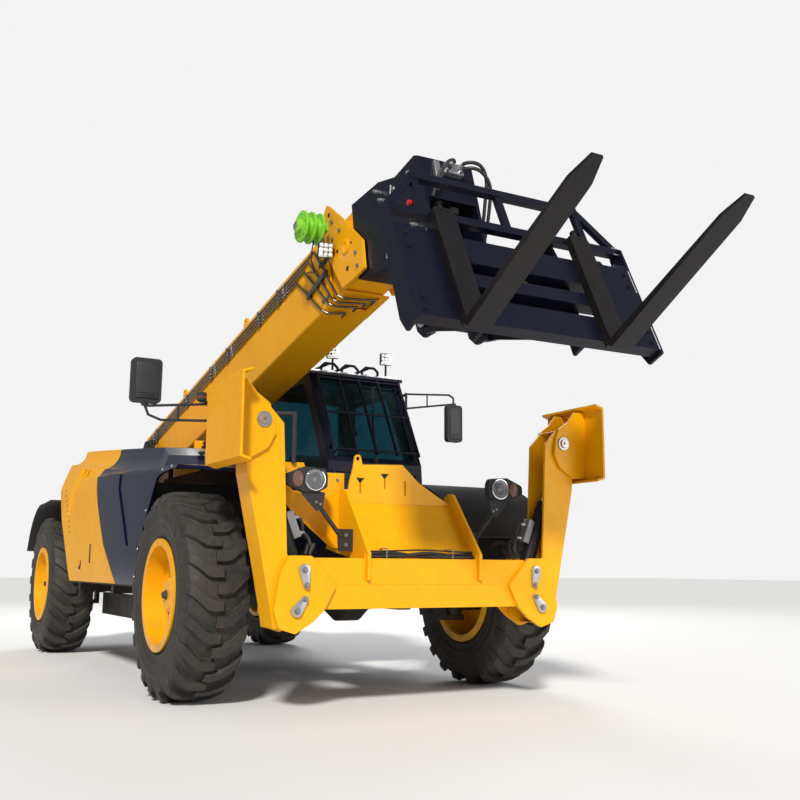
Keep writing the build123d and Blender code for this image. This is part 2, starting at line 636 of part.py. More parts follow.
save(boom_outer(), "boom_outer")
save(boom_pipes(), "boom_pipes")
save(boom_mid(), "boom_mid")
save(boom_inner(), "boom_inner")
save(boom_head(), "boom_head")
lift_plane = side(0)
lift_eye = boom_point(*LIFT_EYE)
save(cylinder_barrel(lift_plane, LIFT_FOOT, lift_eye, 0.76, LIFT_RADIUS, 70, 2 * LIFT_EYE_HALF, 30, 68),
     "lift_cylinder")
save(cylinder_rod(lift_plane, LIFT_FOOT, lift_eye, 300, LIFT_RADIUS, 60, 98), "lift_rod")
save(cylinder_barrel(lift_plane, TILT_FOOT, TILT_EYE, 0.80, 60, 55, 90, 25, 95), "tilt_cylinder")
save(cylinder_rod(lift_plane, TILT_FOOT, TILT_EYE, 200, 60, 48, 80), "tilt_rod")


# ---------------------------------------------------------------- fork frame
def fork_frame():
    """Leaning carriage: end flanges, rails, front plates, hinge lugs and the backrest."""
    half = FRAME_WIDTH / 2
    flange = ((0, 0), (0, 720), (-90, 720), (-140, 90), (-110, 0))
    panel = ((370, 20), (734, 20), (734, 590), (650, 590), (640, 570), (560, 570), (550, 590), (470, 590),
             (460, 570), (380, 570), (370, 590))
    rails = (  # bottom, top, back from, front
        (20, 175, -FRAME_DEPTH, 0),
        (250, 330, -FRAME_DEPTH, 0),
        (400, 560, -FRAME_DEPTH, 0),
    )
    with BuildPart() as frame:
        for x in (half, -half + 16):
            plate(frame_side(x), flange, 16, rounding=8)
        for bottom, top, back, front in rails:
            plate(frame_face(back), ((-half + 16, bottom), (half - 16, bottom), (half - 16, top),
                                     (-half + 16, top)), front - back)
        for hand in (1, -1):
            plate(frame_face(-12), [(hand * x, z) for x, z in panel], 12)
        plate(frame_face(-60), ((-half, 690), (half, 690), (half, 740), (-half, 740)), 40)
        plate(frame_face(-60), ((-545, 960), (545, 960), (545, 1005), (-545, 1005)), 40)
        for x in (-525, 0, 525):
            plate(frame_face(-55), ((x - 20, 740), (x + 20, 740), (x + 20, 960), (x - 20, 960)), 30)
        for hand in (1, -1):
            plate(frame_face(-55), ((hand * 545, 1000), (hand * half, 735), (hand * (half - 55), 735),
                                    (hand * 500, 990)), 30)
    return frame


def frame_point(forward, up):
    """A point of the leaning fork frame as (back, up)."""
    a = radians(FRAME_LEAN)
    return FRAME_FOOT[0] - forward * cos(a) + up * sin(a), FRAME_FOOT[1] + forward * sin(a) + up * cos(a)


def quick_hitch():
    """Tool carrier between the boom's head and the fork frame, with the tilt rod's ears and two hooks."""
    pivot_y, pivot_z = TILT_PIVOT
    eye_y, eye_z = TILT_EYE
    back = -FRAME_DEPTH - 1
    arm = ((pivot_y + 75, pivot_z - 50), (pivot_y + 70, pivot_z + 70), (pivot_y - 130, pivot_z + 330),
           frame_point(back, 600), frame_point(back, 60), (pivot_y - 120, pivot_z - 90), (pivot_y, pivot_z - 80))
    ear = ((eye_y + 50, eye_z - 10), (eye_y + 10, eye_z + 55), (eye_y - 60, eye_z + 55),
           frame_point(back, 600), frame_point(back, 420), (eye_y, eye_z - 60))
    hook = ((back, 60), (back, 640), (back - 20, 790), (back - 50, 812), (back - 85, 790), (back - 120, 600),
            (back - 120, 60))
    with BuildPart() as hitch:
        plate(frame_face(back - 14), ((-325, 60), (325, 60), (325, 620), (-325, 620)), 14)
        for hand in (1, -1):
            near, far = sorted((hand * (HEAD_HALF + 20 + SIDE_GAP), hand * (HEAD_HALF + 40 + SIDE_GAP)))
            plate(side(near), arm, far - near)
            disc(side(near), TILT_PIVOT, TILT_PIN_RADIUS + RUNNING, far - near, Mode.SUBTRACT)
            near, far = sorted((hand * 46, hand * 66))
            plate(side(near), ear, far - near)
            disc(side(near), TILT_EYE, 25, far - near, Mode.SUBTRACT)
            plate(frame_side(max(hand * 305, hand * 325)), hook, 20)
    return hitch


def forks():
    """Two forged forks: hooked shank, heel and tapered blade."""
    shank = ((0, 40), (0, 680), (45, 680), (49, 60), (55, 0), (20, -20), (0, -20))
    blade = ((20, -15), (40, -45), (FORK_LENGTH, FORK_RISE - 13), (FORK_LENGTH, FORK_RISE), (50, 0))
    below = frame_side(0).from_local_coords((0, -60, 0))
    upward = (frame_side(0).from_local_coords((0, 0, 0)) - below).normalized()
    with BuildPart() as pair:
        for hand in (1, -1):
            centre = FORK_SHIFT + hand * FORK_SPREAD / 2
            plate(frame_side(centre + FORK_WIDTH / 2), [(x + SEAT_GAP, z) for x, z in shank], FORK_WIDTH)
            plate(frame_side(centre + FORK_WIDTH / 2), blade, FORK_WIDTH)
            for edge in (1, -1):
                outer = centre + edge * (FORK_WIDTH / 2)
                tip = ((outer, 130 - FORK_LENGTH), (outer + edge, -FORK_LENGTH - 1),
                       (outer - edge * 34, -FORK_LENGTH - 1))
                plate(Plane(origin=below, x_dir=(1, 0, 0), z_dir=upward), tip, 200, Mode.SUBTRACT)
    return pair


save(fork_frame(), "fork_frame")
save(quick_hitch(), "quick_hitch")
save(forks(), "forks")


# ---------------------------------------------------------------- cab
front_low = (850, CAB_FLOOR)
front_sill = (930, 1600)
front_top = (1330, 2340)
rear_top = (2330, 2340)
rear_low = (2330, CAB_FLOOR)


def wall_line(low, high, thickness):
    """A sloping wall's outline between two points, thickened rearwards."""
    return (low, high, (high[0] + thickness, high[1]), (low[0] + thickness, low[1]))


def cab_front():
    """Front wall: lower panel, sill and raked windscreen frame."""
    with BuildPart() as wall:
        width = CAB_LEFT - CAB_RIGHT
        plate(side(CAB_RIGHT), wall_line(front_low, front_sill, CAB_WALL), width)
        plate(side(CAB_RIGHT), wall_line(front_sill, front_top, CAB_WALL), width)
        window = wall_line((930 + 22, 1640), (930 + 22 + 358, 2302), CAB_WALL)
        lower = wall_line((860, 900), (918, 1520), CAB_WALL)
        for hole in (window, lower):
            grown = [(y + (-40 if i < 2 else 40), z) for i, (y, z) in enumerate(hole)]
            plate(side(CAB_RIGHT + 60), grown, width - 120, Mode.SUBTRACT)
    return wall


def cab_rear():
    """Rear wall with its window."""
    with BuildPart() as wall:
        block((CAB_RIGHT, CAB_LEFT), (rear_low[0] - CAB_WALL, rear_low[0]), (CAB_FLOOR, rear_top[1]))
        block((CAB_RIGHT + 80, CAB_LEFT - 80), (rear_low[0] - CAB_WALL, rear_low[0]), (1500, 2270), Mode.SUBTRACT)
    return wall


def side_outline(inset, floor):
    """The cab's outline between its front and rear walls, pulled in by an inset."""
    front = CAB_WALL + inset
    return (
        (front_low[0] + front, floor + inset), (front_sill[0] + front, front_sill[1]),
        (front_top[0] + front, front_top[1] - inset), (rear_top[0] - front, rear_top[1] - inset),
        (rear_low[0] - front, floor + inset),
    )


def cab_right_wall():
    """Wall beside the boom, with its window."""
    with BuildPart() as wall:
        plate(side(CAB_RIGHT), side_outline(0, CAB_FLOOR), CAB_WALL)
        window = ((1080, 1500), (1080, 1640), (1430, 2280), (2200, 2280), (2200, 1500))
        plate(side(CAB_RIGHT), window, CAB_WALL, Mode.SUBTRACT, rounding=20)
    return wall


door_outline = (
    (1000, 870), (1060, 1590), (1440, 2285), (2190, 2285), (2190, 1300), (2090, 870),
)
door_window = ((1075, 1400), (1115, 1600), (1480, 2230), (2130, 2230), (2130, 1400))


def cab_left_wall():
    """Wall round the door opening, with the hinge pins, one ear above and one below each eye."""
    with BuildPart() as wall:
        plate(side(CAB_LEFT - CAB_WALL), side_outline(0, CAB_FLOOR), CAB_WALL)
        plate(side(CAB_LEFT - CAB_WALL), door_outline, CAB_WALL, Mode.SUBTRACT, rounding=30)
        for z in DOOR_HINGES:
            disc(level(z - 32), (CAB_LEFT + DOOR_HINGE_OUT, DOOR_HINGE_Y), 9, 114)
            for low in (z - 32, z + 51):
                disc(level(low), (CAB_LEFT + DOOR_HINGE_OUT, DOOR_HINGE_Y), 18, 31)
                block((CAB_LEFT, CAB_LEFT + DOOR_HINGE_OUT - 4), (DOOR_HINGE_Y, DOOR_HINGE_Y + 45), (low, low + 31))
    return wall


def cab_door():
    """Door with its window, handle and hinge eyes."""
    with BuildPart() as door:
        with BuildSketch(side(CAB_LEFT - CAB_WALL + 6)) as panel:
            with BuildLine():
                Polyline(*door_outline, close=True)
            make_face()
            fillet(panel.vertices(), 30)
            offset(amount=-8, mode=Mode.REPLACE)
        extrude(panel.sketch, amount=CAB_WALL - 6)
        plate(side(CAB_LEFT - CAB_WALL + 6), door_window, CAB_WALL - 6, Mode.SUBTRACT, rounding=25)
        bar(at(CAB_LEFT + 30, 1110, 1250), at(CAB_LEFT + 30, 1110, 1380), 10)
        for z in (1262, 1368):
            bar(at(CAB_LEFT - 4, 1110, z), at(CAB_LEFT + 30, 1110, z), 8)
        for z in DOOR_HINGES:
            block((CAB_LEFT - 10, CAB_LEFT + 24), (2120, 2165), (z, z + 50))
            block((CAB_LEFT + SIDE_GAP, CAB_LEFT + 24), (2120, DOOR_HINGE_Y), (z, z + 50))
            disc(level(z), (CAB_LEFT + DOOR_HINGE_OUT, DOOR_HINGE_Y), 18, 50)
            disc(level(z), (CAB_LEFT + DOOR_HINGE_OUT, DOOR_HINGE_Y), 9 + RUNNING, 50, Mode.SUBTRACT)
    return door


def cab_base():
    """Floor with its sill and a step under the door."""
    with BuildPart() as base:
        block((CAB_RIGHT, CAB_LEFT), (front_low[0], rear_low[0]), (CAB_FLOOR - 45, CAB_FLOOR))
        block((CAB_LEFT - 30, CAB_LEFT + 90), (1250, 1650), (450, 462))
        for y in (1250, 1638):
            block((CAB_LEFT - 30, CAB_LEFT), (y, y + 12), (450, CAB_FLOOR - 45))
            block((CAB_LEFT, CAB_LEFT + 90), (y, y + 12), (462, 500))
    return base


def cab_roof():
    """Roof slab, overhanging the windscreen a little."""
    outline = (
        (front_top[0] - 60, 2340), (front_top[0] - 60, 2365), (front_top[0] + 40, 2400),
        (rear_top[0] - 60, 2405), (rear_top[0] + 20, 2380), (rear_top[0] + 20, 2340),
    )
    with BuildPart() as roof:
        plate(side(CAB_RIGHT - 10), outline, CAB_LEFT - CAB_RIGHT + 20)
    return roof


def cab_glass():
    """Fixed panes, each filling its window."""
    with BuildPart() as panes:
        width = CAB_LEFT - CAB_RIGHT - 120
        for low, high in (((952, 1640), (1310, 2302)), ((860, 900), (918, 1520))):
            plate(side(CAB_RIGHT + 60), wall_line((low[0] + 16, low[1]), (high[0] + 16, high[1]), 8), width)
        block((CAB_RIGHT + 80, CAB_LEFT - 80), (rear_low[0] - 26, rear_low[0] - 20), (1500, 2270))
        window = ((1080, 1500), (1080, 1640), (1430, 2280), (2200, 2280), (2200, 1500))
        plate(side(CAB_RIGHT + 18), window, 6, rounding=20)
    return panes


def door_glass():
    """The door's pane."""
    with BuildPart() as pane:
        plate(side(CAB_LEFT - 20), door_window, 6, rounding=25)
    return pane


def screen_point(x, up, off):
    """A point over the windscreen: across, height of its foot on the glass line, distance off it."""
    run = hypot(front_top[0] - front_sill[0], front_top[1] - front_sill[1])
    slope_y = (front_top[0] - front_sill[0]) / run
    slope_z = (front_top[1] - front_sill[1]) / run
    y = front_sill[0] + (up - front_sill[1]) * slope_y / slope_z
    return at(x, y - off * slope_z, up + off * slope_y)


def cab_guard():
    """Bars over the windscreen and looped tubes on the roof."""
    low, high = 1640, 2310
    with BuildPart() as guard:
        for x in (CAB_RIGHT + 40, 520, 700, 880, CAB_LEFT - 40):
            bar(screen_point(x, low, 60), screen_point(x, high, 60), 12)
        for up in (low + 25, 1980, high - 25):
            bar(screen_point(CAB_RIGHT + 28, up, 60), screen_point(CAB_LEFT - 28, up, 60), 9)
        for x in (CAB_RIGHT + 40, CAB_LEFT - 40):
            for up in (low + 70, high - 70):
                bar(screen_point(x, up, 0.2), screen_point(x, up, 54), 10)
        for x in (CAB_RIGHT + 150, CAB_RIGHT + 340, CAB_RIGHT + 530):
            for y, roof in ((1420, 2400.5), (2220, 2405)):
                hoop = ((x, roof), (x, 2440), (x + 35, 2470), (x + 115, 2470), (x + 150, 2440), (x + 150, roof))
                tube_run([at(across_hoop, y, z) for across_hoop, z in hoop], 11)
            bar(at(x + 75, 1420, 2470), at(x + 75, 2220, 2470), 11)
    return guard


def seat():
    """Operator's seat: pedestal, cushion, backrest."""
    with BuildPart() as chair:
        block((560, 860), (1720, 2020), (CAB_FLOOR, 1120))
        block((480, 940), (1660, 2140), (1120, 1230))
        plate(side(480), ((2060, 1230), (2140, 1230), (2230, 1800), (2150, 1810)), 460)
    return chair


def steering_column():
    """Column leaning back, with the steering wheel, and the instrument cowl."""
    centre = at(705, 1330, 1420)
    axis = Vector(0, 0.45, 0.9).normalized()
    with BuildPart() as column:
        bar(at(705, 1090, CAB_FLOOR + 60), centre, 35)
        with BuildSketch(Plane(origin=centre, z_dir=axis)) as wheel:
            Circle(190)
            Circle(165, mode=Mode.SUBTRACT)
            Rectangle(340, 36)
        extrude(wheel.sketch, amount=24)
        block((500, 1000), (990, 1100), (CAB_FLOOR, 1380))
    return column


save(cab_base(), "cab_base")
save(cab_front(), "cab_front_wall")
save(cab_rear(), "cab_rear_wall")
save(cab_right_wall(), "cab_right_wall")
save(cab_left_wall(), "cab_left_wall")
save(cab_roof(), "cab_roof")
save(cab_glass(), "cab_glass")
save(cab_guard(), "cab_guard")
save(cab_door(), "cab_door")
save(door_glass(), "door_glass")
save(seat(), "seat")
save(steering_column(), "steering_column")


# ---------------------------------------------------------------- engine pod
pod_crest = (  # back, top of the cover there, its side, how far the side leans in at the top, corner radius
    (-400, 1388, -950, 0, 25),
    (-96, 1424, POD_OUTER, 0, 25),
    (250, 1444, POD_OUTER, 0, 45),
    (420, 1535, POD_OUTER, 0, 120),
    (779, 1624, POD_OUTER, 0, 190),
    (1380, 1679, POD_OUTER, 0, 200),
    (2785, 1800, POD_OUTER, 50, 160),
    (3420, 1850, POD_OUTER, 90, 130),
)


def pod_section(y, top, outer, lean, corner, skin):
    """Closed cross-section of the cover at y, drawn inside the skin."""
    outer += skin
    upper = outer + lean
    crown = top - skin
    corner -= skin
    edge = POD_EDGE + skin * 2
    with BuildSketch(across(y)) as section:
        with BuildLine():
            Line((edge, 500 - skin), (edge, crown))
            Line((edge, crown), (upper + corner, crown - 25))
            RadiusArc((upper + corner, crown - 25), (upper, crown - 25 - corner), corner)
            Line((upper, crown - 25 - corner), (outer, crown - 400))
            Line((outer, crown - 400), (outer, 500 - skin))
            Line((outer, 500 - skin), (edge, 500 - skin))
        make_face()
    return section.sketch


def pod_cover(outline):
    """Part of the moulded cover: a crowned shell cut to its side outline."""
    with BuildPart() as cover:
        for (y0, *low), (y1, *high) in zip(pod_crest, pod_crest[1:]):
            loft(sections=[pod_section(y0, *low, 0), pod_section(y1, *high, 0)], ruled=True)
        for (y0, *low), (y1, *high) in zip(pod_crest, pod_crest[1:]):
            start = y0 + POD_SKIN if y0 == pod_crest[0][0] else y0
            end = y1 - POD_SKIN if y1 == pod_crest[-1][0] else y1
            loft(sections=[pod_section(start, *low, POD_SKIN), pod_section(end, *high, POD_SKIN)],
                 ruled=True, mode=Mode.SUBTRACT)
        with BuildSketch(side(POD_OUTER - 5)) as profile:
            with BuildLine():
                Polyline(*outline, close=True)
            make_face()
        extrude(profile.sketch, amount=POD_INNER - POD_OUTER + 10, mode=Mode.INTERSECT)
    return cover


front_cover_outline = (
    (1185, POD_BOTTOM), (675, POD_BOTTOM), (665, 750), (620, 880), (545, 1010), (430, 1144), (330, 1262),
    (256, 1340), (184, 1358), (-96, 1377), (-401, 1340), (-401, 1900), (2102, 1900), (2102, POD_BOTTOM),
)
rear_cover_outline = (
    (1185, POD_BOTTOM), (1185, 1900), (3421, 1900), (3421, 1490), (3396, 1464), (3263, 1188), (2867, 751),
    (2767, POD_BOTTOM),
)
POD_REACH = 1600           # further from the hinge than any point of the covers
shut_line = (  # back, distance from the hinge
    (1185, POD_REACH), (1185, 1493), (1609, 1290), (1890, 1082), (2036, 931), (2064, 800), (2064, 0),
)


def hinge_turned(profile):
    """Solid turned about the cover's hinge, from points of (back, distance from the hinge)."""
    with BuildPart() as turned:
        with BuildSketch(side(POD_HINGE_X)) as half_section:
            with BuildLine():
                Polyline(*[(y, POD_HINGE_Z - reach) for y, reach in profile], close=True)
            make_face()
        revolve(half_section.sketch, axis=Axis(at(POD_HINGE_X, 0, POD_HINGE_Z), (0, 1, 0)))
    return turned


def front_cover():
    """Front cover, running on over the wheel, with a sunken panel in its side."""
    cover = pod_cover(front_cover_outline)
    ahead = hinge_turned(((-402, 0), (-402, POD_REACH)) + shut_line)
    sunken = ((1242, 1337), (1217, 1430), (986, 1450), (700, 1420), (520, 1337), (540, 1270), (650, 1160),
              (877, 929), (942, 919))
    with BuildPart() as piece:
        add(cover.part)
        add(ahead.part, mode=Mode.INTERSECT)
        plate(side(POD_OUTER - 1), sunken, 10, Mode.SUBTRACT, rounding=12)
    return piece


def rear_cover():
    """Rear cover with the hinge eyes on its inner edge."""
    cover = pod_cover(rear_cover_outline)
    behind = hinge_turned([(y + SHUT_GAP, reach) for y, reach in shut_line] + [(3422, 0), (3422, POD_REACH)])
    with BuildPart() as piece:
        add(cover.part)
        add(behind.part, mode=Mode.INTERSECT)
        for y in POD_HINGES:
            block((POD_EDGE - 60, POD_HINGE_X), (y, y + 40), (POD_HINGE_Z - 22, POD_HINGE_Z + 22))
            block((POD_EDGE - 60, POD_EDGE - 4), (y, y + 40), (1700, POD_HINGE_Z))
            disc(across(y + 40), (POD_HINGE_X, POD_HINGE_Z), 22, 40)
            disc(across(y + 40), (POD_HINGE_X, POD_HINGE_Z), 10 + RUNNING, 40, Mode.SUBTRACT)
    return piece


def engine_tray():
    """Fixed floor, inner wall and wheel arch of the engine pod, with the cover's hinge pins."""
    arch = ((800, 655), (795, 760), (748, 900), (702, 1000), (592, 1144), (470, 1250), (300, 1310))
    sheet = arch + tuple((y + 8, z + 5) for y, z in reversed(arch))
    with BuildPart() as tray:
        block((POD_OUTER + 60, -FRAME_HALF), (800, 2740), (650, 664))
        block((POD_INNER + 4, POD_INNER + 16), (300, 3380), (650, 1290))
        block((POD_INNER + 4, POD_INNER + 16), (900, 3380), (1290, 1600))
        plate(side(POD_OUTER + 20), sheet, POD_INNER + 16 - POD_OUTER - 20)
        prop_top = 1624 + (1020 - 779) / (1380 - 779) * (1679 - 1624) - POD_SKIN - 4.1
        block((POD_EDGE - 28, POD_INNER + 16), (1000, 1040), (1560, prop_top))
        for y in POD_HINGES:
            for near in (y - 22, y + 41):
                block((POD_HINGE_X - 10, POD_HINGE_X + 10), (near, near + 21), (1590, POD_HINGE_Z))
                disc(across(near + 21), (POD_HINGE_X, POD_HINGE_Z), 18, 21)
            disc(across(y + 62), (POD_HINGE_X, POD_HINGE_Z), 10, 84)
    return tray


def engine_block():
    """The engine as one plain mass."""
    with BuildPart() as engine:
        block((-1000, -420), (1560, 2600), (664, 1380))
    return engine


def fuel_tank():
    """Tank on the left, between the cab and the rear wheel."""
    outline = ((2380, 620), (2380, 1240), (2440, 1300), (2980, 1300), (3060, 1180), (2960, 620))
    with BuildPart() as tank:
        plate(side(FRAME_HALF), outline, 800, rounding=30)
    return tank


def mudguards():
    """Arched guards over the wheels that the covers don't reach."""
    arches = (  # side, axle, inner x, outer x, from angle, to angle
        (1, 0, 480, 1230, 30, 150),
        (1, WHEELBASE, 860, 1290, 25, 140),
        (-1, WHEELBASE, 860, 1290, 25, 95),
    )
    with BuildPart() as guards:
        for hand, y, inner, outer, low, high in arches:
            low_x, high_x = sorted((hand * inner, hand * outer))
            with BuildSketch(side(low_x)) as arch:
                with BuildLine():
                    CenterArc((y, AXLE_HEIGHT), 740, low, high - low)
                    CenterArc((y, AXLE_HEIGHT), 725, low, high - low)
                    for angle in (low, high):
                        a = radians(angle)
                        Line((y + 725 * cos(a), AXLE_HEIGHT + 725 * sin(a)),
                             (y + 740 * cos(a), AXLE_HEIGHT + 740 * sin(a)))
                make_face()
            extrude(arch.sketch, amount=high_x - low_x)
            near, far = sorted((hand * FRAME_HALF, hand * (inner + 20)))
            block((near, far), (y - 20, y + 20), (AXLE_HEIGHT + 724, AXLE_HEIGHT + 738))
            near, far = sorted((hand * FRAME_HALF, hand * (FRAME_HALF + 12)))
            block((near, far), (y - 20, y + 20), (AXLE_HEIGHT + 160, AXLE_HEIGHT + 738))
        plate(side(-1290), ((WHEELBASE - 60, 1343), (WHEELBASE - 60, 1358), (3450, 1376), (3450, 1361)), 430)
    return guards


def counterweight():
    """Cast counterweight across the tail."""
    outline = ((FRAME_REAR, 600), (FRAME_REAR, 1200), (FRAME_REAR + 60, 1260), (FRAME_REAR + 150, 1200),
               (FRAME_REAR + 180, 700), (FRAME_REAR + 120, 600))
    with BuildPart() as weight:
        plate(side(-700), outline, 1400, rounding=15)
        for z in (640, 740):
            block((-60, 60), (FRAME_REAR + 100, FRAME_REAR + 245), (z, z + 20))
            disc(level(z), (0, FRAME_REAR + 212), 20, 20, Mode.SUBTRACT)
    return weight


def headlamps():
    """Two oval lamps with their indicators, each on a flat foot and a bent arm from a gusset."""
    shell = ((808, 1250), (802, 1302), (690, 1348), (568, 1340), (550, 1305), (552, 1235), (600, 1210), (700, 1206))
    boss = ((740, 1215), (740, 1320), (590, 1325), (590, 1222))
    base = ((704, 1196), (704, 1207), (596, 1212), (560, 1205), (575, 1120), (610, 1100), (640, 1130))
    stand = ((470, 880), (478, 1005), (380, 1005), (380, 880))
    with BuildPart() as lamps:
        for hand in (1, -1):
            for outline, front, depth, rounding in ((shell, -860, 45, 22), (boss, -815, 40, 20), (base, -848, 8, 0),
                                                    (stand, -846, 10, 0)):
                plate(across(front + depth), [(hand * x, z) for x, z in outline], depth, rounding=rounding)
            near, far = sorted((hand * 380, hand * 390))
            block((near, far), (-846, -780), (900, 985))
            bar(at(hand * 455, -842, 960), at(hand * 590, -842, 1125), 13)
    return lamps


def rounded_case(x, y, z, corner):
    """A mirror's case between two values each of x, y and z, with rounded corners in its face."""
    plate(across(y[1]), ((x[0], z[0]), (x[1], z[0]), (x[1], z[1]), (x[0], z[1])), y[1] - y[0], rounding=corner)


def mirrors():
    """Two mirrors on pairs of tubes: one from a post on the bracket's cowl, one from the cab's front corner."""
    with BuildPart() as pair:
        rounded_case((-1478, -1292), (-20, 25), (1770, 2045), 28)
        tube_run([at(-680, -664.3, 1385), at(-680, -664.3, 1672), at(-1120, -440, 1672)], 14)
        block((-1132, -1108), (-452, -428), (1612, 1732))
        tube_run([at(-1120, -440, 1723), at(-1385, 0, 1752), at(-1385, 0, 1775)], 8)
        tube_run([at(-1120, -440, 1625), at(-1300, -60, 1664), at(-1362, 0, 1700), at(-1385, 0, 1752)], 8)
        bar(at(-1246, -231, 1737), at(-1246, -231, 1647), 6)
        rounded_case((1332, 1478), (870, 920), (1810, 2116), 28)
        bar(at(1110, 1168, 2092), at(1110, 1168, 2236), 11)
        block((1100, 1119), (1168, 1198), (2096, 2118))
        block((1100, 1119), (1168, 1259.5), (2210, 2230))
        tube_run([at(1110, 1168, 2226), at(1372, 912, 2204), at(1405, 897, 2180), at(1410, 895, 2112)], 8)
        tube_run([at(1110, 1168, 2104), at(1408, 896, 2128)], 8)
        bar(at(1240, 1041, 2215), at(1240, 1041, 2115), 6)
    return pair


save(front_cover(), "hood_front")
save(rear_cover(), "hood_rear")
save(engine_tray(), "engine_tray")
save(engine_block(), "engine_block")
save(fuel_tank(), "fuel_tank")
save(mudguards(), "mudguards")
save(counterweight(), "counterweight")
save(headlamps(), "headlamps")
save(mirrors(), "mirrors")
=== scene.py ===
"""Visual model of a telescopic handler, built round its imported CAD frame.

Lengths are metres.  A place on the machine is given across (left is positive), back from the front axle
and up from the ground; `place` turns it into the frame's own coordinates.
"""

import logging
import math
from dataclasses import dataclass
from enum import Enum
from typing import Sequence

import bmesh
import bpy
from mathutils import Matrix, Vector


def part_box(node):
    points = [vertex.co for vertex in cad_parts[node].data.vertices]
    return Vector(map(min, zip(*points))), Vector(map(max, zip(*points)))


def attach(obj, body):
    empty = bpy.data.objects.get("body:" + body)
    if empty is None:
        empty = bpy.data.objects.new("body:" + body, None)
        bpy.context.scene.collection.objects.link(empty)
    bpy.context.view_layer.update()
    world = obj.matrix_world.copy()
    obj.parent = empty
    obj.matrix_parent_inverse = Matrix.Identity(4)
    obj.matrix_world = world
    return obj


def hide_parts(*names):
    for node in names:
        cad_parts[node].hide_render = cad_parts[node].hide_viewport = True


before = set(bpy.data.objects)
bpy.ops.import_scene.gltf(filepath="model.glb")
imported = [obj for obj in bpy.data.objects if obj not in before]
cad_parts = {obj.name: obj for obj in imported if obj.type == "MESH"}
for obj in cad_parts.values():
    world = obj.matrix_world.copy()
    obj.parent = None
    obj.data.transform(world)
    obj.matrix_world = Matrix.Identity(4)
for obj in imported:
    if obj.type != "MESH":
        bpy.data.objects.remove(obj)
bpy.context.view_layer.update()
LOG = logging.getLogger("telehandler")

Point = Sequence[float]


# ------------------------------------------------------------------ places on the machine
def front_axle_y() -> float:
    """Place of the front axle along the machine.

    Returns:
        The frame's Y of the front axle.
    """
    low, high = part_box("front_tyre_left")
    return (low[1] + high[1]) / 2


FRONT_AXLE_Y = front_axle_y()
AXLE_HEIGHT = 0.620
WHEELBASE = 3.900
TRACK = 2.140
BOOM_PIVOT = (4.150, 1.910)
BOOM_ANGLE = math.radians(12.3)
BOOM_WIDTH = 0.350
BOOM_HEIGHT = 0.556
FORK_FOOT = (-2.200, 1.908)
FORK_LEAN = math.radians(25)
SCREEN_SILL = (0.930, 1.600)
SCREEN_TOP = (1.330, 2.340)

HANDS = (("left", 1), ("right", -1))
AHEAD = Vector((0, -1, 0))
UP = Vector((0, 0, 1))
LEFTWARDS = Vector((1, 0, 0))
BOOM_AHEAD = Vector((0, -math.cos(BOOM_ANGLE), math.sin(BOOM_ANGLE)))
BOOM_UP = Vector((0, math.sin(BOOM_ANGLE), math.cos(BOOM_ANGLE)))
FACE_OUT = Vector((0, -math.cos(FORK_LEAN), math.sin(FORK_LEAN)))
FACE_UP = Vector((0, math.sin(FORK_LEAN), math.cos(FORK_LEAN)))


def place(across: float, back: float, up: float) -> Vector:
    """Turn a place on the machine into the frame's coordinates.

    Args:
        across: Metres to the machine's left.
        back: Metres behind the front axle.
        up: Metres over the ground.

    Returns:
        The point in the frame.
    """
    return Vector((across, FRONT_AXLE_Y + back, up))


def on_boom(across: float, along: float, square: float) -> Vector:
    """Turn a place on the boom into the frame's coordinates.

    Args:
        across: Metres to the machine's left.
        along: Metres along the boom from its pivot.
        square: Metres square to the boom's middle line, upwards.

    Returns:
        The point in the frame.
    """
    back = BOOM_PIVOT[0] - along * math.cos(BOOM_ANGLE) + square * math.sin(BOOM_ANGLE)
    up = BOOM_PIVOT[1] + along * math.sin(BOOM_ANGLE) + square * math.cos(BOOM_ANGLE)
    return place(across, back, up)


def on_fork_frame(across: float, forward: float, up: float) -> Vector:
    """Turn a place on the leaning fork frame into the frame's coordinates.

    Args:
        across: Metres to the machine's left.
        forward: Metres in front of the frame's face.
        up: Metres up along the face.

    Returns:
        The point in the frame.
    """
    back = FORK_FOOT[0] - forward * math.cos(FORK_LEAN) + up * math.sin(FORK_LEAN)
    height = FORK_FOOT[1] + forward * math.sin(FORK_LEAN) + up * math.cos(FORK_LEAN)
    return place(across, back, height)


# ------------------------------------------------------------------ finishes
class Grime(Enum):
    """How thickly dirt lies on a finish."""

    NONE = 0.0
    FILM = 0.55
    DUST = 1.0


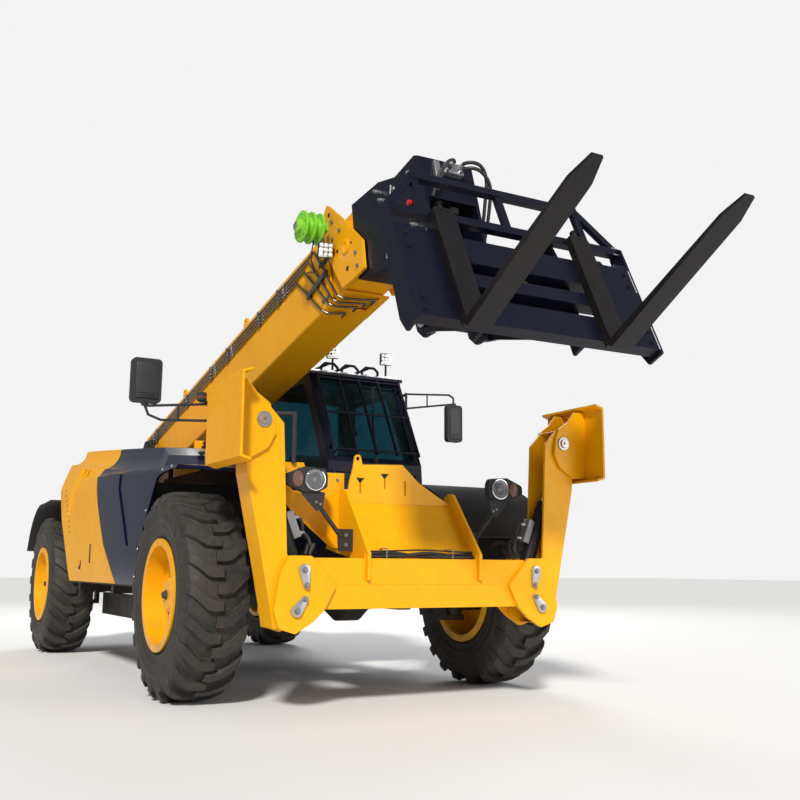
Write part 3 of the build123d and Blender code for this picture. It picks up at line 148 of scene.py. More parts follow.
class Graph:
    """A short way to write a shader's nodes."""

    def __init__(self, name: str) -> None:
        """Start an empty material.

        Args:
            name: The material's name.
        """
        self.material = bpy.data.materials.new(name)
        self.material.use_nodes = True
        self.tree = self.material.node_tree
        self.tree.nodes.clear()
        self.output = self.add("ShaderNodeOutputMaterial")
        self.coords = self.add("ShaderNodeTexCoord").outputs["Object"]

    def add(self, kind: str, **settings: object) -> bpy.types.Node:
        """Add a node.

        Args:
            kind: The node's type.
            **settings: Attributes of the node.

        Returns:
            The node.
        """
        node = self.tree.nodes.new(kind)
        for name, value in settings.items():
            setattr(node, name, value)
        return node

    def link(self, source: bpy.types.NodeSocket, target: bpy.types.NodeSocket) -> None:
        """Join two sockets."""
        self.tree.links.new(source, target)

    def noise(self, scale: float, detail: float = 4.0, rough: float = 0.55,
              coords: bpy.types.NodeSocket | None = None) -> bpy.types.NodeSocket:
        """A noise value.

        Args:
            scale: Grains to the metre.
            detail: Octaves.
            rough: Roughness of the octaves.
            coords: Coordinates, or the object's own.

        Returns:
            The value socket.
        """
        node = self.add("ShaderNodeTexNoise")
        node.inputs["Scale"].default_value = scale
        node.inputs["Detail"].default_value = detail
        node.inputs["Roughness"].default_value = rough
        self.link(coords or self.coords, node.inputs["Vector"])
        return node.outputs["Fac"]

    def ramp(self, value: bpy.types.NodeSocket, low: float, high: float,
             bottom: float = 0.0, top: float = 1.0) -> bpy.types.NodeSocket:
        """A value mapped from one range to another, clamped.

        Args:
            value: The value.
            low: Where the range starts.
            high: Where it ends.
            bottom: Result at the start.
            top: Result at the end.

        Returns:
            The mapped value.
        """
        node = self.add("ShaderNodeMapRange")
        node.inputs["From Min"].default_value = low
        node.inputs["From Max"].default_value = high
        node.inputs["To Min"].default_value = bottom
        node.inputs["To Max"].default_value = top
        self.link(value, node.inputs["Value"])
        return node.outputs["Result"]

    def math(self, operation: str, first: bpy.types.NodeSocket,
             second: bpy.types.NodeSocket | float = 0.0) -> bpy.types.NodeSocket:
        """A sum, product or other simple operation."""
        node = self.add("ShaderNodeMath", operation=operation)
        self.link(first, node.inputs[0])
        if isinstance(second, bpy.types.NodeSocket):
            self.link(second, node.inputs[1])
        else:
            node.inputs[1].default_value = second
        return node.outputs["Value"]

    def mix(self, amount: bpy.types.NodeSocket, first: Point | bpy.types.NodeSocket,
            second: Point | bpy.types.NodeSocket, blend: str = "MIX") -> bpy.types.NodeSocket:
        """Two colours mixed by an amount."""
        node = self.add("ShaderNodeMix", data_type="RGBA", blend_type=blend)
        self.link(amount, node.inputs[0])
        for socket, colour in ((node.inputs[6], first), (node.inputs[7], second)):
            if isinstance(colour, bpy.types.NodeSocket):
                self.link(colour, socket)
            else:
                socket.default_value = (*colour, 1.0)
        return node.outputs[2]

    def height(self) -> bpy.types.NodeSocket:
        """The height over the ground."""
        node = self.add("ShaderNodeSeparateXYZ")
        self.link(self.coords, node.inputs[0])
        return node.outputs["Z"]

    def edges(self, radius: float, samples: int = 4) -> tuple[bpy.types.NodeSocket, bpy.types.NodeSocket]:
        """Softened edges.

        Args:
            radius: How far an edge is rounded.
            samples: Rays for each look at an edge.

        Returns:
            The softened normal, and a mask that is 1 on sharp edges.
        """
        bevel = self.add("ShaderNodeBevel", samples=samples)
        bevel.inputs["Radius"].default_value = radius
        geometry = self.add("ShaderNodeNewGeometry")
        dot = self.add("ShaderNodeVectorMath", operation="DOT_PRODUCT")
        self.link(bevel.outputs["Normal"], dot.inputs[0])
        self.link(geometry.outputs["Normal"], dot.inputs[1])
        return bevel.outputs["Normal"], self.ramp(dot.outputs["Value"], 0.98, 0.80)


@dataclass(frozen=True)
class Finish:
    """A painted, moulded or bare surface.

    Attributes:
        name: Name of the material.
        colour: Clean colour.
        shade: Colour of its darker patches.
        roughness: Gloss of the clean surface.
        metallic: 1 for bare metal.
        coat: Strength of a clear coat.
        specular: Strength of the surface's own gloss.
        grain: Grains to the metre of the fine bump.
        bump: Depth of the fine bump.
        edge: Radius of the softened edges.
        wear: Colour of worn edges, or None.
        grime: How thickly dirt lies on it.
        dirt: Colour of the dirt.
        dirt_height: Height under which dirt gathers.
        slot: Slot of the record that it answers to; not used.
    """

    name: str
    colour: tuple[float, float, float]
    shade: tuple[float, float, float]
    roughness: float = 0.4
    metallic: float = 0.0
    coat: float = 0.0
    specular: float = 0.5
    grain: float = 260.0
    bump: float = 0.04
    edge: float = 0.004
    wear: tuple[float, float, float] | None = None
    grime: Grime = Grime.NONE
    dirt: tuple[float, float, float] = (0.20, 0.13, 0.07)
    dirt_height: float = 0.9
    slot: str = "black"

    def material(self) -> bpy.types.Material:
        """Build the shader, once.

        Returns:
            The material.
        """
        known = bpy.data.materials.get(self.name)
        if known:
            return known
        graph = Graph(self.name)
        shader = graph.add("ShaderNodeBsdfPrincipled")
        patches = graph.ramp(graph.noise(1.7, 6.0), 0.35, 0.7)
        mottle = graph.ramp(graph.noise(14.0, 5.0), 0.3, 0.8)
        tone = graph.math("MULTIPLY", graph.math("ADD", patches, mottle), 0.5)
        colour = graph.mix(tone, self.colour, self.shade)
        gloss = graph.ramp(mottle, 0.0, 1.0, self.roughness * 0.88, min(1.0, self.roughness * 1.25))
        normal, rim_mask = graph.edges(self.edge)
        if self.wear:
            chips = graph.ramp(graph.noise(60.0, 6.0, 0.7), 0.52, 0.62)
            colour = graph.mix(graph.math("MULTIPLY", rim_mask, chips), colour, self.wear)
        if self.grime is not Grime.NONE:
            low = graph.ramp(graph.height(), self.dirt_height, self.dirt_height * 0.25, 0.0, self.grime.value)
            splash = graph.ramp(graph.noise(5.5, 8.0, 0.68), 0.42, 0.66)
            film = graph.math("MULTIPLY", low, splash)
            colour = graph.mix(film, colour, self.dirt)
            gloss = graph.math("MAXIMUM", gloss, graph.ramp(film, 0.0, 1.0, 0.0, 0.85))
        graph.link(colour, shader.inputs["Base Color"])
        graph.link(gloss, shader.inputs["Roughness"])
        shader.inputs["Metallic"].default_value = self.metallic
        shader.inputs["Specular IOR Level"].default_value = self.specular
        shader.inputs["Coat Weight"].default_value = self.coat
        shader.inputs["Coat Roughness"].default_value = 0.06
        bump = graph.add("ShaderNodeBump")
        bump.inputs["Strength"].default_value = self.bump
        bump.inputs["Distance"].default_value = 0.002
        graph.link(graph.noise(self.grain, 3.0), bump.inputs["Height"])
        graph.link(normal, bump.inputs["Normal"])
        graph.link(bump.outputs["Normal"], shader.inputs["Normal"])
        graph.link(shader.outputs["BSDF"], graph.output.inputs["Surface"])
        return graph.material


@dataclass(frozen=True)
class Glass:
    """Clear or tinted glass.

    Attributes:
        name: Name of the material.
        tint: Colour of the light that passes.
        clear: How much light passes straight through.
        slot: Slot of the record that it answers to; not used.
    """

    name: str
    tint: tuple[float, float, float]
    clear: float = 0.6
    slot: str = "glass"

    def material(self) -> bpy.types.Material:
        """Build the shader, once.

        Returns:
            The material.
        """
        known = bpy.data.materials.get(self.name)
        if known:
            return known
        graph = Graph(self.name)
        shader = graph.add("ShaderNodeBsdfPrincipled")
        through = graph.add("ShaderNodeBsdfTransparent")
        smear = graph.ramp(graph.noise(3.0, 6.0), 0.35, 0.75, 0.03, 0.10)
        through.inputs["Color"].default_value = (*self.tint, 1.0)
        shader.inputs["Base Color"].default_value = (*[c * 0.25 for c in self.tint], 1.0)
        shader.inputs["IOR"].default_value = 1.5
        graph.link(smear, shader.inputs["Roughness"])
        mixed = graph.add("ShaderNodeMixShader")
        dusty = graph.ramp(graph.noise(9.0, 6.0), 0.3, 0.8, self.clear, self.clear * 0.88)
        graph.link(dusty, mixed.inputs["Fac"])
        graph.link(shader.outputs["BSDF"], mixed.inputs[1])
        graph.link(through.outputs["BSDF"], mixed.inputs[2])
        graph.link(mixed.outputs["Shader"], graph.output.inputs["Surface"])
        return graph.material


YELLOW = Finish("yellow_paint", (0.86, 0.405, 0.002), (0.76, 0.325, 0.002), 0.36, coat=0.08, specular=0.22,
                bump=0.05, edge=0.003, wear=(0.30, 0.16, 0.05), grime=Grime.DUST, dirt=(0.36, 0.20, 0.05),
                dirt_height=0.55, slot="yellow")
YELLOW_COVER = Finish("yellow_moulding", (0.86, 0.405, 0.002), (0.78, 0.345, 0.002), 0.34, specular=0.16,
                      bump=0.02, grime=Grime.DUST, dirt=(0.34, 0.20, 0.06), dirt_height=0.8,
                      slot="yellow_cover")
NAVY_COVER = Finish("navy_moulding", (0.0028, 0.004, 0.021), (0.005, 0.007, 0.030), 0.18, coat=0.06,
                    specular=0.14, bump=0.015, grime=Grime.FILM, dirt=(0.030, 0.026, 0.022), dirt_height=0.8,
                    slot="navy_plastic")
NAVY = Finish("navy_paint", (0.0035, 0.0045, 0.013), (0.007, 0.008, 0.018), 0.36, coat=0.05, specular=0.16,
              wear=(0.06, 0.04, 0.03), slot="navy")
BLACK = Finish("chassis_black", (0.010, 0.010, 0.011), (0.020, 0.019, 0.018), 0.5, specular=0.25, bump=0.08,
               grime=Grime.DUST, dirt=(0.08, 0.06, 0.04), dirt_height=0.9, slot="black")
BLACK_PLASTIC = Finish("black_plastic", (0.010, 0.010, 0.011), (0.018, 0.018, 0.018), 0.55, specular=0.25,
                       grain=420.0, bump=0.25, grime=Grime.DUST, dirt=(0.07, 0.055, 0.04), dirt_height=0.9,
                       slot="black_plastic")
FORK_STEEL = Finish("fork_black", (0.006, 0.006, 0.009), (0.016, 0.012, 0.010), 0.38, specular=0.22,
                    edge=0.002, slot="fork_steel")
PIPE_STEEL = Finish("pipe_zinc", (0.20, 0.19, 0.18), (0.12, 0.11, 0.10), 0.28, metallic=0.9, edge=0.001,
                    slot="zinc")
CHROME = Finish("chromed_rod", (0.78, 0.78, 0.79), (0.70, 0.70, 0.71), 0.12, metallic=1.0, bump=0.01,
                slot="chrome_rod")
CAST = Finish("cast_iron", (0.05, 0.05, 0.052), (0.09, 0.085, 0.08), 0.65, metallic=0.4, grain=180.0,
              bump=0.5, grime=Grime.DUST, slot="cast")
STEEL = Finish("zinc_steel", (0.52, 0.53, 0.55), (0.38, 0.39, 0.41), 0.34, metallic=0.9, bump=0.03,
               edge=0.001, slot="zinc")
STEEL_DULL = Finish("dull_zinc", (0.30, 0.30, 0.30), (0.20, 0.19, 0.18), 0.5, metallic=0.8, bump=0.08,
                    edge=0.001, slot="zinc")
BRASS = Finish("brass_fitting", (0.62, 0.42, 0.14), (0.48, 0.32, 0.11), 0.32, metallic=1.0, edge=0.001,
               slot="zinc")
GREEN = Finish("reel_green", (0.22, 0.62, 0.03), (0.18, 0.50, 0.025), 0.35, coat=0.3, bump=0.02, edge=0.002,
               slot="yellow_cover")
RED = Finish("red_cap", (0.55, 0.015, 0.010), (0.42, 0.012, 0.010), 0.4, edge=0.001, slot="yellow_cover")
# Light grey bare metal of the neck welds; on the fork frame's left-hand beads it is a painted highlight.
WELD_AND_HIGHLIGHT = Finish("bare_weld_and_highlight", (0.42, 0.42, 0.43), (0.26, 0.25, 0.25), 0.45, metallic=0.6, bump=0.2, edge=0.001,
              slot="zinc")
REFLECTOR = Finish("lamp_reflector", (0.86, 0.86, 0.87), (0.80, 0.80, 0.82), 0.08, metallic=1.0, bump=0.0,
                   edge=0.001, slot="chrome_rod")
MIRROR = Finish("mirror_silver", (0.90, 0.90, 0.91), (0.88, 0.88, 0.89), 0.03, metallic=1.0, bump=0.0,
                edge=0.001, slot="chrome_rod")
MIRROR_BACK = Finish("mirror_back_plastic", (0.020, 0.020, 0.022), (0.034, 0.034, 0.036), 0.42, grain=240.0,
                     bump=0.5, edge=0.003, slot="black_plastic")
BULB = Finish("lamp_bulb", (0.80, 0.80, 0.76), (0.72, 0.72, 0.68), 0.2, edge=0.001, slot="glass")
LAMP_CELL = Finish("lamp_cell", (0.84, 0.86, 0.88), (0.70, 0.73, 0.76), 0.12, coat=0.8, bump=0.02, edge=0.001,
                   slot="glass")
RUBBER_HOSE = Finish("hose_rubber", (0.012, 0.012, 0.013), (0.022, 0.022, 0.022), 0.5, grain=600.0,
                     bump=0.15, slot="black_plastic")
SEAT_CLOTH = Finish("seat_cloth", (0.030, 0.031, 0.035), (0.045, 0.046, 0.050), 0.9, grain=900.0,
                    bump=0.6, slot="fabric")
GLASS = Glass("tinted_glass", (0.25, 0.47, 0.51), 0.92)
CLEAR_LENS = Glass("clear_lens", (0.96, 0.97, 0.98), 0.72)
INDICATOR = Glass("indicator_lens", (1.0, 0.66, 0.54), 0.55)
AMBER = Glass("amber_lens", (0.95, 0.34, 0.16), 0.45)

NODE_FINISHES: dict[str, Finish | Glass] = {
    "chassis_frame": BLACK, "front_axle": BLACK, "rear_axle": BLACK, "engine_tray": BLACK,
    "counterweight": BLACK, "front_crossbeam": YELLOW, "front_bracket": YELLOW, "boom_outer": YELLOW,
    "boom_mid": YELLOW, "boom_pipes": PIPE_STEEL, "boom_inner": YELLOW, "leg_left": YELLOW,
    "leg_right": YELLOW, "foot_left": YELLOW, "foot_right": YELLOW, "boom_head": NAVY, "quick_hitch": NAVY,
    "fork_frame": NAVY, "forks": FORK_STEEL, "hood_front": NAVY_COVER, "hood_rear": YELLOW_COVER,
    "cab_base": NAVY, "cab_front_wall": NAVY, "cab_rear_wall": NAVY, "cab_right_wall": NAVY,
    "cab_left_wall": NAVY, "cab_roof": NAVY, "cab_door": NAVY, "cab_guard": NAVY,
    "cab_glass": GLASS, "door_glass": GLASS, "seat": SEAT_CLOTH, "steering_column": BLACK_PLASTIC,
    "mudguards": BLACK_PLASTIC, "mirrors": BLACK_PLASTIC, "headlamps": BLACK_PLASTIC,
    "fuel_tank": BLACK_PLASTIC, "engine_block": CAST, "lift_cylinder": BLACK, "tilt_cylinder": BLACK,
    "leg_cylinder_left": BLACK, "leg_cylinder_right": BLACK, "lift_rod": CHROME, "tilt_rod": CHROME,
    "leg_rod_left": CHROME, "leg_rod_right": CHROME, "front_steering_rod": CHROME,
    "rear_steering_rod": CHROME,
}


def dress_frame() -> None:
    """Give every CAD node its finish."""
    for name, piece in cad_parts.items():
        if name in NODE_FINISHES:
            finish = NODE_FINISHES[name]
        elif "rim" in name:
            finish = YELLOW
        else:
            finish = BLACK
        piece.data.materials.clear()
        piece.data.materials.append(finish.material())


# ------------------------------------------------------------------ shaping
def add_piece(name: str, data: bpy.types.Mesh | bpy.types.Curve, finish: Finish | Glass,
              body: str) -> bpy.types.Object:
    """Make an object of a mesh or a curve, dress it, let it ride on a body and report it.

    Args:
        name: Name of the piece.
        data: Its mesh or curve.
        finish: Its finish.
        body: Body that it rides on.

    Returns:
        The object.
    """
    data.materials.append(finish.material())
    piece = bpy.data.objects.new(name, data)
    bpy.context.scene.collection.objects.link(piece)
    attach(piece, body)
    LOG.info("%s on %s", name, body)
    return piece


class Shape:
    """A mesh in the making, with the few operations that the pieces share."""

    def __init__(self) -> None:
        """Start empty."""
        self.mesh = bmesh.new()

    def block(self, size: Point, spot: Matrix, bevel: float = 0.0,
              segments: int = 2) -> list[bmesh.types.BMVert]:
        """Add a block.

        Args:
            size: Its three lengths.
            spot: Its place and turn.
            bevel: Width of its bevelled edges.
            segments: Steps of the bevel.

        Returns:
            Its vertices.
        """
        scale = Matrix.Diagonal((*size, 1.0))
        made = bmesh.ops.create_cube(self.mesh, size=1.0, matrix=spot @ scale)["verts"]
        if not bevel:
            return made
        edges = list({edge for vert in made for edge in vert.link_edges})
        result = bmesh.ops.bevel(self.mesh, geom=edges, offset=bevel, affect="EDGES", segments=segments,
                                 profile=0.5, material=-1)
        return result["verts"]

    def rod(self, start: Vector, end: Vector, radius: float, tip: float | None = None,
            sides: int = 20) -> list[bmesh.types.BMVert]:
        """Add a round or many-sided bar between two points.

        Args:
            start: Middle of its first end.
            end: Middle of its other end.
            radius: Radius at the start.
            tip: Radius at the end, if it differs.
            sides: Number of sides.

        Returns:
            Its vertices.
        """
        run = end - start
        turn = run.to_track_quat("Z", "Y").to_matrix().to_4x4()
        spot = Matrix.Translation((start + end) / 2) @ turn
        return bmesh.ops.create_cone(self.mesh, cap_ends=True, segments=sides, radius1=radius,
                                     radius2=radius if tip is None else tip, depth=run.length,
                                     matrix=spot)["verts"]

    def lathe(self, profile: Sequence[Point], spot: Vector, axis: Vector, steps: int = 48) -> None:
        """Spin a profile of (distance along the axis, radius) into a closed ring or cap.

        Args:
            profile: The profile's points, in order.
            spot: Point on the axis that distances count from.
            axis: Direction of the axis.
            steps: Steps of the full turn.
        """
        axis = axis.normalized()
        out = axis.orthogonal().normalized()
        verts = [self.mesh.verts.new(spot + axis * along + out * radius) for along, radius in profile]
        edges = [self.mesh.edges.new(pair) for pair in zip(verts, verts[1:])]
        bmesh.ops.spin(self.mesh, geom=verts + edges, cent=spot, axis=axis, angle=2 * math.pi, steps=steps,
                       use_merge=True)

    def plate(self, outline: Sequence[Vector], thickness: Vector, bevel: float = 0.0) -> None:
        """Add a flat plate.

        Args:
            outline: Its corners, in order.
            thickness: How far and which way it is thick.
            bevel: Width of its bevelled edges.
        """
        face = self.mesh.faces.new([self.mesh.verts.new(corner) for corner in outline])
        grown = bmesh.ops.extrude_face_region(self.mesh, geom=[face])["geom"]
        verts = [item for item in grown if isinstance(item, bmesh.types.BMVert)]
        bmesh.ops.translate(self.mesh, verts=verts, vec=thickness)
        if bevel:
            edges = list({edge for vert in (*verts, *face.verts) for edge in vert.link_edges})
            bmesh.ops.bevel(self.mesh, geom=edges, offset=bevel, affect="EDGES", segments=2, profile=0.5,
                            material=-1)

    def bolt(self, spot: Vector, axis: Vector, size: float, washer: bool = True) -> None:
        """Add a hexagon bolt's head on its washer.

        Args:
            spot: Where it seats.
            axis: Which way it stands out.
            size: Radius of the head.
            washer: Whether it has a washer.
        """
        axis = axis.normalized()
        base = spot
        if washer:
            base = spot + axis * size * 0.25
            self.rod(spot, base, size * 1.35, sides=18)
        self.rod(base, base + axis * size * 0.9, size, size * 0.93, sides=6)

    def union(self, spot: Vector, axis: Vector, radius: float, hexagon: float, sides: int = 14) -> None:
        """Add a screwed union: a hexagon, and a round neck in front of it.

        Args:
            spot: Where it seats.
            axis: Which way it stands out.
            radius: Radius of the hexagon.
            hexagon: Length of the hexagon.
            sides: Sides of the neck.
        """
        middle = spot + axis * hexagon
        self.rod(spot, middle, radius, sides=6)
        self.rod(middle, spot + axis * (hexagon + 0.014), 0.010, sides=sides)

    def done(self, name: str, finish: Finish | Glass, body: str, smooth: float = 35.0,
             replaced: Sequence[str] = ()) -> bpy.types.Object:
        """Close the mesh and make it a piece.

        Args:
            name: Name of the piece.
            finish: Its finish.
            body: Body that it rides on.
            smooth: Angle in degrees under which an edge is shaded smooth.
            replaced: CAD nodes that it stands for.

        Returns:
            The object.
        """
        bmesh.ops.remove_doubles(self.mesh, verts=self.mesh.verts, dist=1e-5)
        bmesh.ops.recalc_face_normals(self.mesh, faces=self.mesh.faces)
        data = bpy.data.meshes.new(name)
        self.mesh.to_mesh(data)
        self.mesh.free()
        data.shade_smooth()
        data.set_sharp_from_angle(angle=math.radians(smooth))
        piece = add_piece(name, data, finish, body)
        if replaced:
            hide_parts(*replaced)
        return piece


def upright(spot: Vector, forward: Vector = AHEAD, up: Vector = UP) -> Matrix:
    """A place whose X looks along a direction and whose Z stands near another.

    Args:
        spot: The place.
        forward: Direction of its X.
        up: Rough direction of its Z.

    Returns:
        The matrix.
    """
    x = forward.normalized()
    y = up.cross(x).normalized()
    z = x.cross(y)
    return Matrix.Translation(spot) @ Matrix((x, y, z)).transposed().to_4x4()


def hose(name: str, points: Sequence[Vector], radius: float, finish: Finish, body: str) -> bpy.types.Object:
    """A hose or pipe that lies fixed on the machine, on one smooth curve.

    Args:
        name: Name of the piece.
        points: Control points of its line.
        radius: Its radius.
        finish: Its finish.
        body: Body that it rides on.

    Returns:
        The object.
    """
    data = bpy.data.curves.new(name, "CURVE")
    data.dimensions = "3D"
    data.bevel_depth = radius
    data.bevel_resolution = 3
    data.resolution_u = 10
    data.use_fill_caps = True
    line = data.splines.new("NURBS")
    line.points.add(len(points) - 1)
    for point, spot in zip(line.points, points):
        point.co = (*spot, 1.0)
    line.order_u = 3
    line.use_endpoint_u = True
    return add_piece(name, data, finish, body)


# ------------------------------------------------------------------ tyres
@dataclass(frozen=True)
class TreadRubber:
    """Dusty tyre rubber with rusty earth between the lugs."""

    name: str = "tread_rubber"
    slot: str = "rubber_tyre"

    def material(self) -> bpy.types.Material:
        """Build the shader, once.

        Returns:
            The material.
        """
        known = bpy.data.materials.get(self.name)
        if known:
            return known
        graph = Graph(self.name)
        shader = graph.add("ShaderNodeBsdfPrincipled")
        scuffs = graph.ramp(graph.noise(26.0, 8.0, 0.65), 0.35, 0.75)
        colour = graph.mix(scuffs, (0.013, 0.012, 0.011), (0.040, 0.036, 0.030))
        dust = graph.ramp(graph.noise(5.0, 7.0, 0.6), 0.42, 0.72, 0.0, 0.7)
        colour = graph.mix(dust, colour, (0.052, 0.043, 0.030))
        streaks = graph.ramp(graph.noise(9.0, 9.0, 0.72), 0.60, 0.74, 0.0, 0.75)
        patches = graph.ramp(graph.noise(2.2, 3.0), 0.48, 0.62)
        colour = graph.mix(graph.math("MULTIPLY", streaks, patches), colour, (0.20, 0.075, 0.022))
        normal, edge = graph.edges(0.006)
        colour = graph.mix(graph.math("MULTIPLY", edge, scuffs), colour, (0.075, 0.066, 0.055))
        graph.link(colour, shader.inputs["Base Color"])
        graph.link(graph.ramp(scuffs, 0.0, 1.0, 0.55, 0.85), shader.inputs["Roughness"])
        bump = graph.add("ShaderNodeBump")
        bump.inputs["Strength"].default_value = 0.35
        bump.inputs["Distance"].default_value = 0.003
        graph.link(graph.noise(140.0, 6.0, 0.7), bump.inputs["Height"])
        graph.link(normal, bump.inputs["Normal"])
        graph.link(bump.outputs["Normal"], shader.inputs["Normal"])
        graph.link(shader.outputs["BSDF"], graph.output.inputs["Surface"])
        return graph.material


RUBBER = TreadRubber()


@dataclass
class Tyre:
    """A wide industrial tyre with two rows of bent lugs.

    Attributes:
        end: Which axle it is on.
        hand: Which side it is on.
        spot: Middle of the wheel.
        lugs: Lugs in each row.
        lug_line: Rows of (across from the middle, outer radius, root across, root radius, lag in metres,
            half width) along one lug, from the middle of the tread over the shoulder.
    """

    end: str
    hand: str
    spot: Vector
    lugs: int = 21
    lug_line: tuple[tuple[float, float, float, float, float, float], ...] = (
        (-0.018, 0.6195, -0.014, 0.570, 0.000, 0.026),
        (0.030, 0.6195, 0.030, 0.570, 0.002, 0.030),
        (0.072, 0.6185, 0.072, 0.568, 0.012, 0.032),
        (0.125, 0.6145, 0.122, 0.560, 0.058, 0.032),
        (0.169, 0.6000, 0.160, 0.545, 0.096, 0.034),
        (0.1885, 0.5690, 0.172, 0.530, 0.108, 0.036),
        (0.1925, 0.5300, 0.176, 0.510, 0.112, 0.034),
        (0.1915, 0.4950, 0.178, 0.480, 0.114, 0.026),
    )

    def build(self) -> bpy.types.Object:
        """Make the carcass and its lugs.

        Returns:
            The tyre.
        """
        shape = Shape()
        self.carcass(shape)
        for row in (1, -1):
            for index in range(self.lugs):
                turn = 2 * math.pi * (index + (0.5 if row < 0 else 0.0)) / self.lugs
                self.lug(shape, row, turn)
        name = f"{self.end}_tyre_{self.hand}"
        return shape.done(f"tread_{name}", RUBBER, f"{self.end}_wheel_{self.hand}", 32.0, (name,))

    def carcass(self, shape: Shape) -> None:
        """Spin the tyre's body with its rim guards and scuff ribs.

        Args:
            shape: Where it goes.
        """
        half = ((0.163, 0.306), (0.163, 0.334), (0.170, 0.345), (0.178, 0.352), (0.176, 0.360),
                (0.186, 0.400), (0.189, 0.404), (0.189, 0.410), (0.187, 0.414), (0.1915, 0.452),
                (0.1935, 0.456), (0.1935, 0.462), (0.191, 0.466), (0.188, 0.510), (0.182, 0.545),
                (0.165, 0.568), (0.120, 0.581), (0.050, 0.586))
        profile = [*half, *((-along, radius) for along, radius in reversed(half)), half[0]]
        shape.lathe(profile, self.spot, Vector((1, 0, 0)), 84)

    def blank(self) -> bpy.types.Mesh:
        """A bar cut across at each station of a lug, two metres long, wide and high, made once.

        Returns:
            Its mesh.
        """
        known = bpy.data.meshes.get("lug_blank")
        if known:
            return known
        bar = bmesh.new()
        bmesh.ops.create_cube(bar, size=2.0)
        long_edges = [edge for edge in bar.edges if abs(edge.verts[0].co.x - edge.verts[1].co.x) > 1]
        bmesh.ops.subdivide_edges(bar, edges=long_edges, cuts=len(self.lug_line) - 2, use_grid_fill=False)
        data = bpy.data.meshes.new("lug_blank")
        bar.to_mesh(data)
        bar.free()
        return data

    def lug(self, shape: Shape, row: int, turn: float) -> None:
        """Bend one lug from the blank.

        Args:
            shape: Where it goes.
            row: Which row it is in.
            turn: Its angle round the wheel.
        """
        steps = len(self.lug_line) - 1
        bent = self.blank().copy()
        for vert in bent.vertices:
            station = self.lug_line[round((vert.co.x + 1) / 2 * steps)]
            top_across, top_radius, root_across, root_radius, lag, width = station
            is_top = vert.co.z > 0
            across = top_across if is_top else root_across
            radius = top_radius if is_top else root_radius
            offset = vert.co.y * width * (1.0 if is_top else 1.32) - lag
            angle = turn + offset / 0.60
            vert.co = self.spot + Vector((row * across, -radius * math.sin(angle), radius * math.cos(angle)))
        shape.mesh.from_mesh(bent)
        bpy.data.meshes.remove(bent)


def wheels() -> list[tuple[str, str, int, Vector]]:
    """The four wheels.

    Returns:
        Rows of (axle, side, 1 on the left or -1 on the right, middle of the wheel).
    """
    return [(end, hand, sign, place(sign * TRACK / 2, back, AXLE_HEIGHT))
            for end, back in (("front", 0.0), ("rear", WHEELBASE)) for hand, sign in HANDS]


# ------------------------------------------------------------------ trim
def ring_of(middle: Vector, axis: Vector, radius: float, count: int, start: float = 0.0) -> list[Vector]:
    """Evenly spaced places on a circle.

    Args:
        middle: Middle of the circle.
        axis: Direction square to it.
        radius: Its radius.
        count: Number of places.
        start: Angle of the first.

    Returns:
        The places.
    """
    out = axis.orthogonal().normalized() * radius
    step = 2 * math.pi / count
    return [middle + Matrix.Rotation(start + step * index, 3, axis) @ out for index in range(count)]


@dataclass
class WheelTrim:
    """Wheel nuts, hub bolts, hub plug and valve stem of one wheel.

    Attributes:
        end: Which axle it is on.
        hand: Which side it is on.
        out: Direction away from the machine.
        spot: Middle of the wheel.
        nut_circle: Radius of the ring of wheel nuts.
        hub_circle: Radius of the ring of hub bolts.
    """

    end: str
    hand: str
    out: Vector
    spot: Vector
    nut_circle: float = 0.180
    hub_circle: float = 0.127

    def build(self) -> None:
        """Add the wheel's fastenings."""
        body = f"{self.end}_wheel_{self.hand}"
        name = f"{self.end}_{self.hand}"
        nuts = Shape()
        for spot in ring_of(self.spot + self.out * 0.040, self.out, self.nut_circle, 10, 0.2):
            nuts.bolt(spot, self.out, 0.017)
            nuts.rod(spot, spot + self.out * 0.034, 0.009, sides=12)
        for spot in ring_of(self.spot + self.out * 0.060, self.out, self.hub_circle, 12):
            nuts.bolt(spot, self.out, 0.009, False)
        nuts.done(f"wheel_nuts_{name}", STEEL_DULL, body)
        plug = Shape()
        plug.bolt(self.spot + self.out * 0.130, self.out, 0.022)
        stem = self.spot + UP * 0.262 + self.out * 0.030
        plug.rod(stem, stem + self.out * 0.055 - UP * 0.012, 0.006, 0.004, 10)
        plug.done(f"hub_plug_{name}", CAST, body)


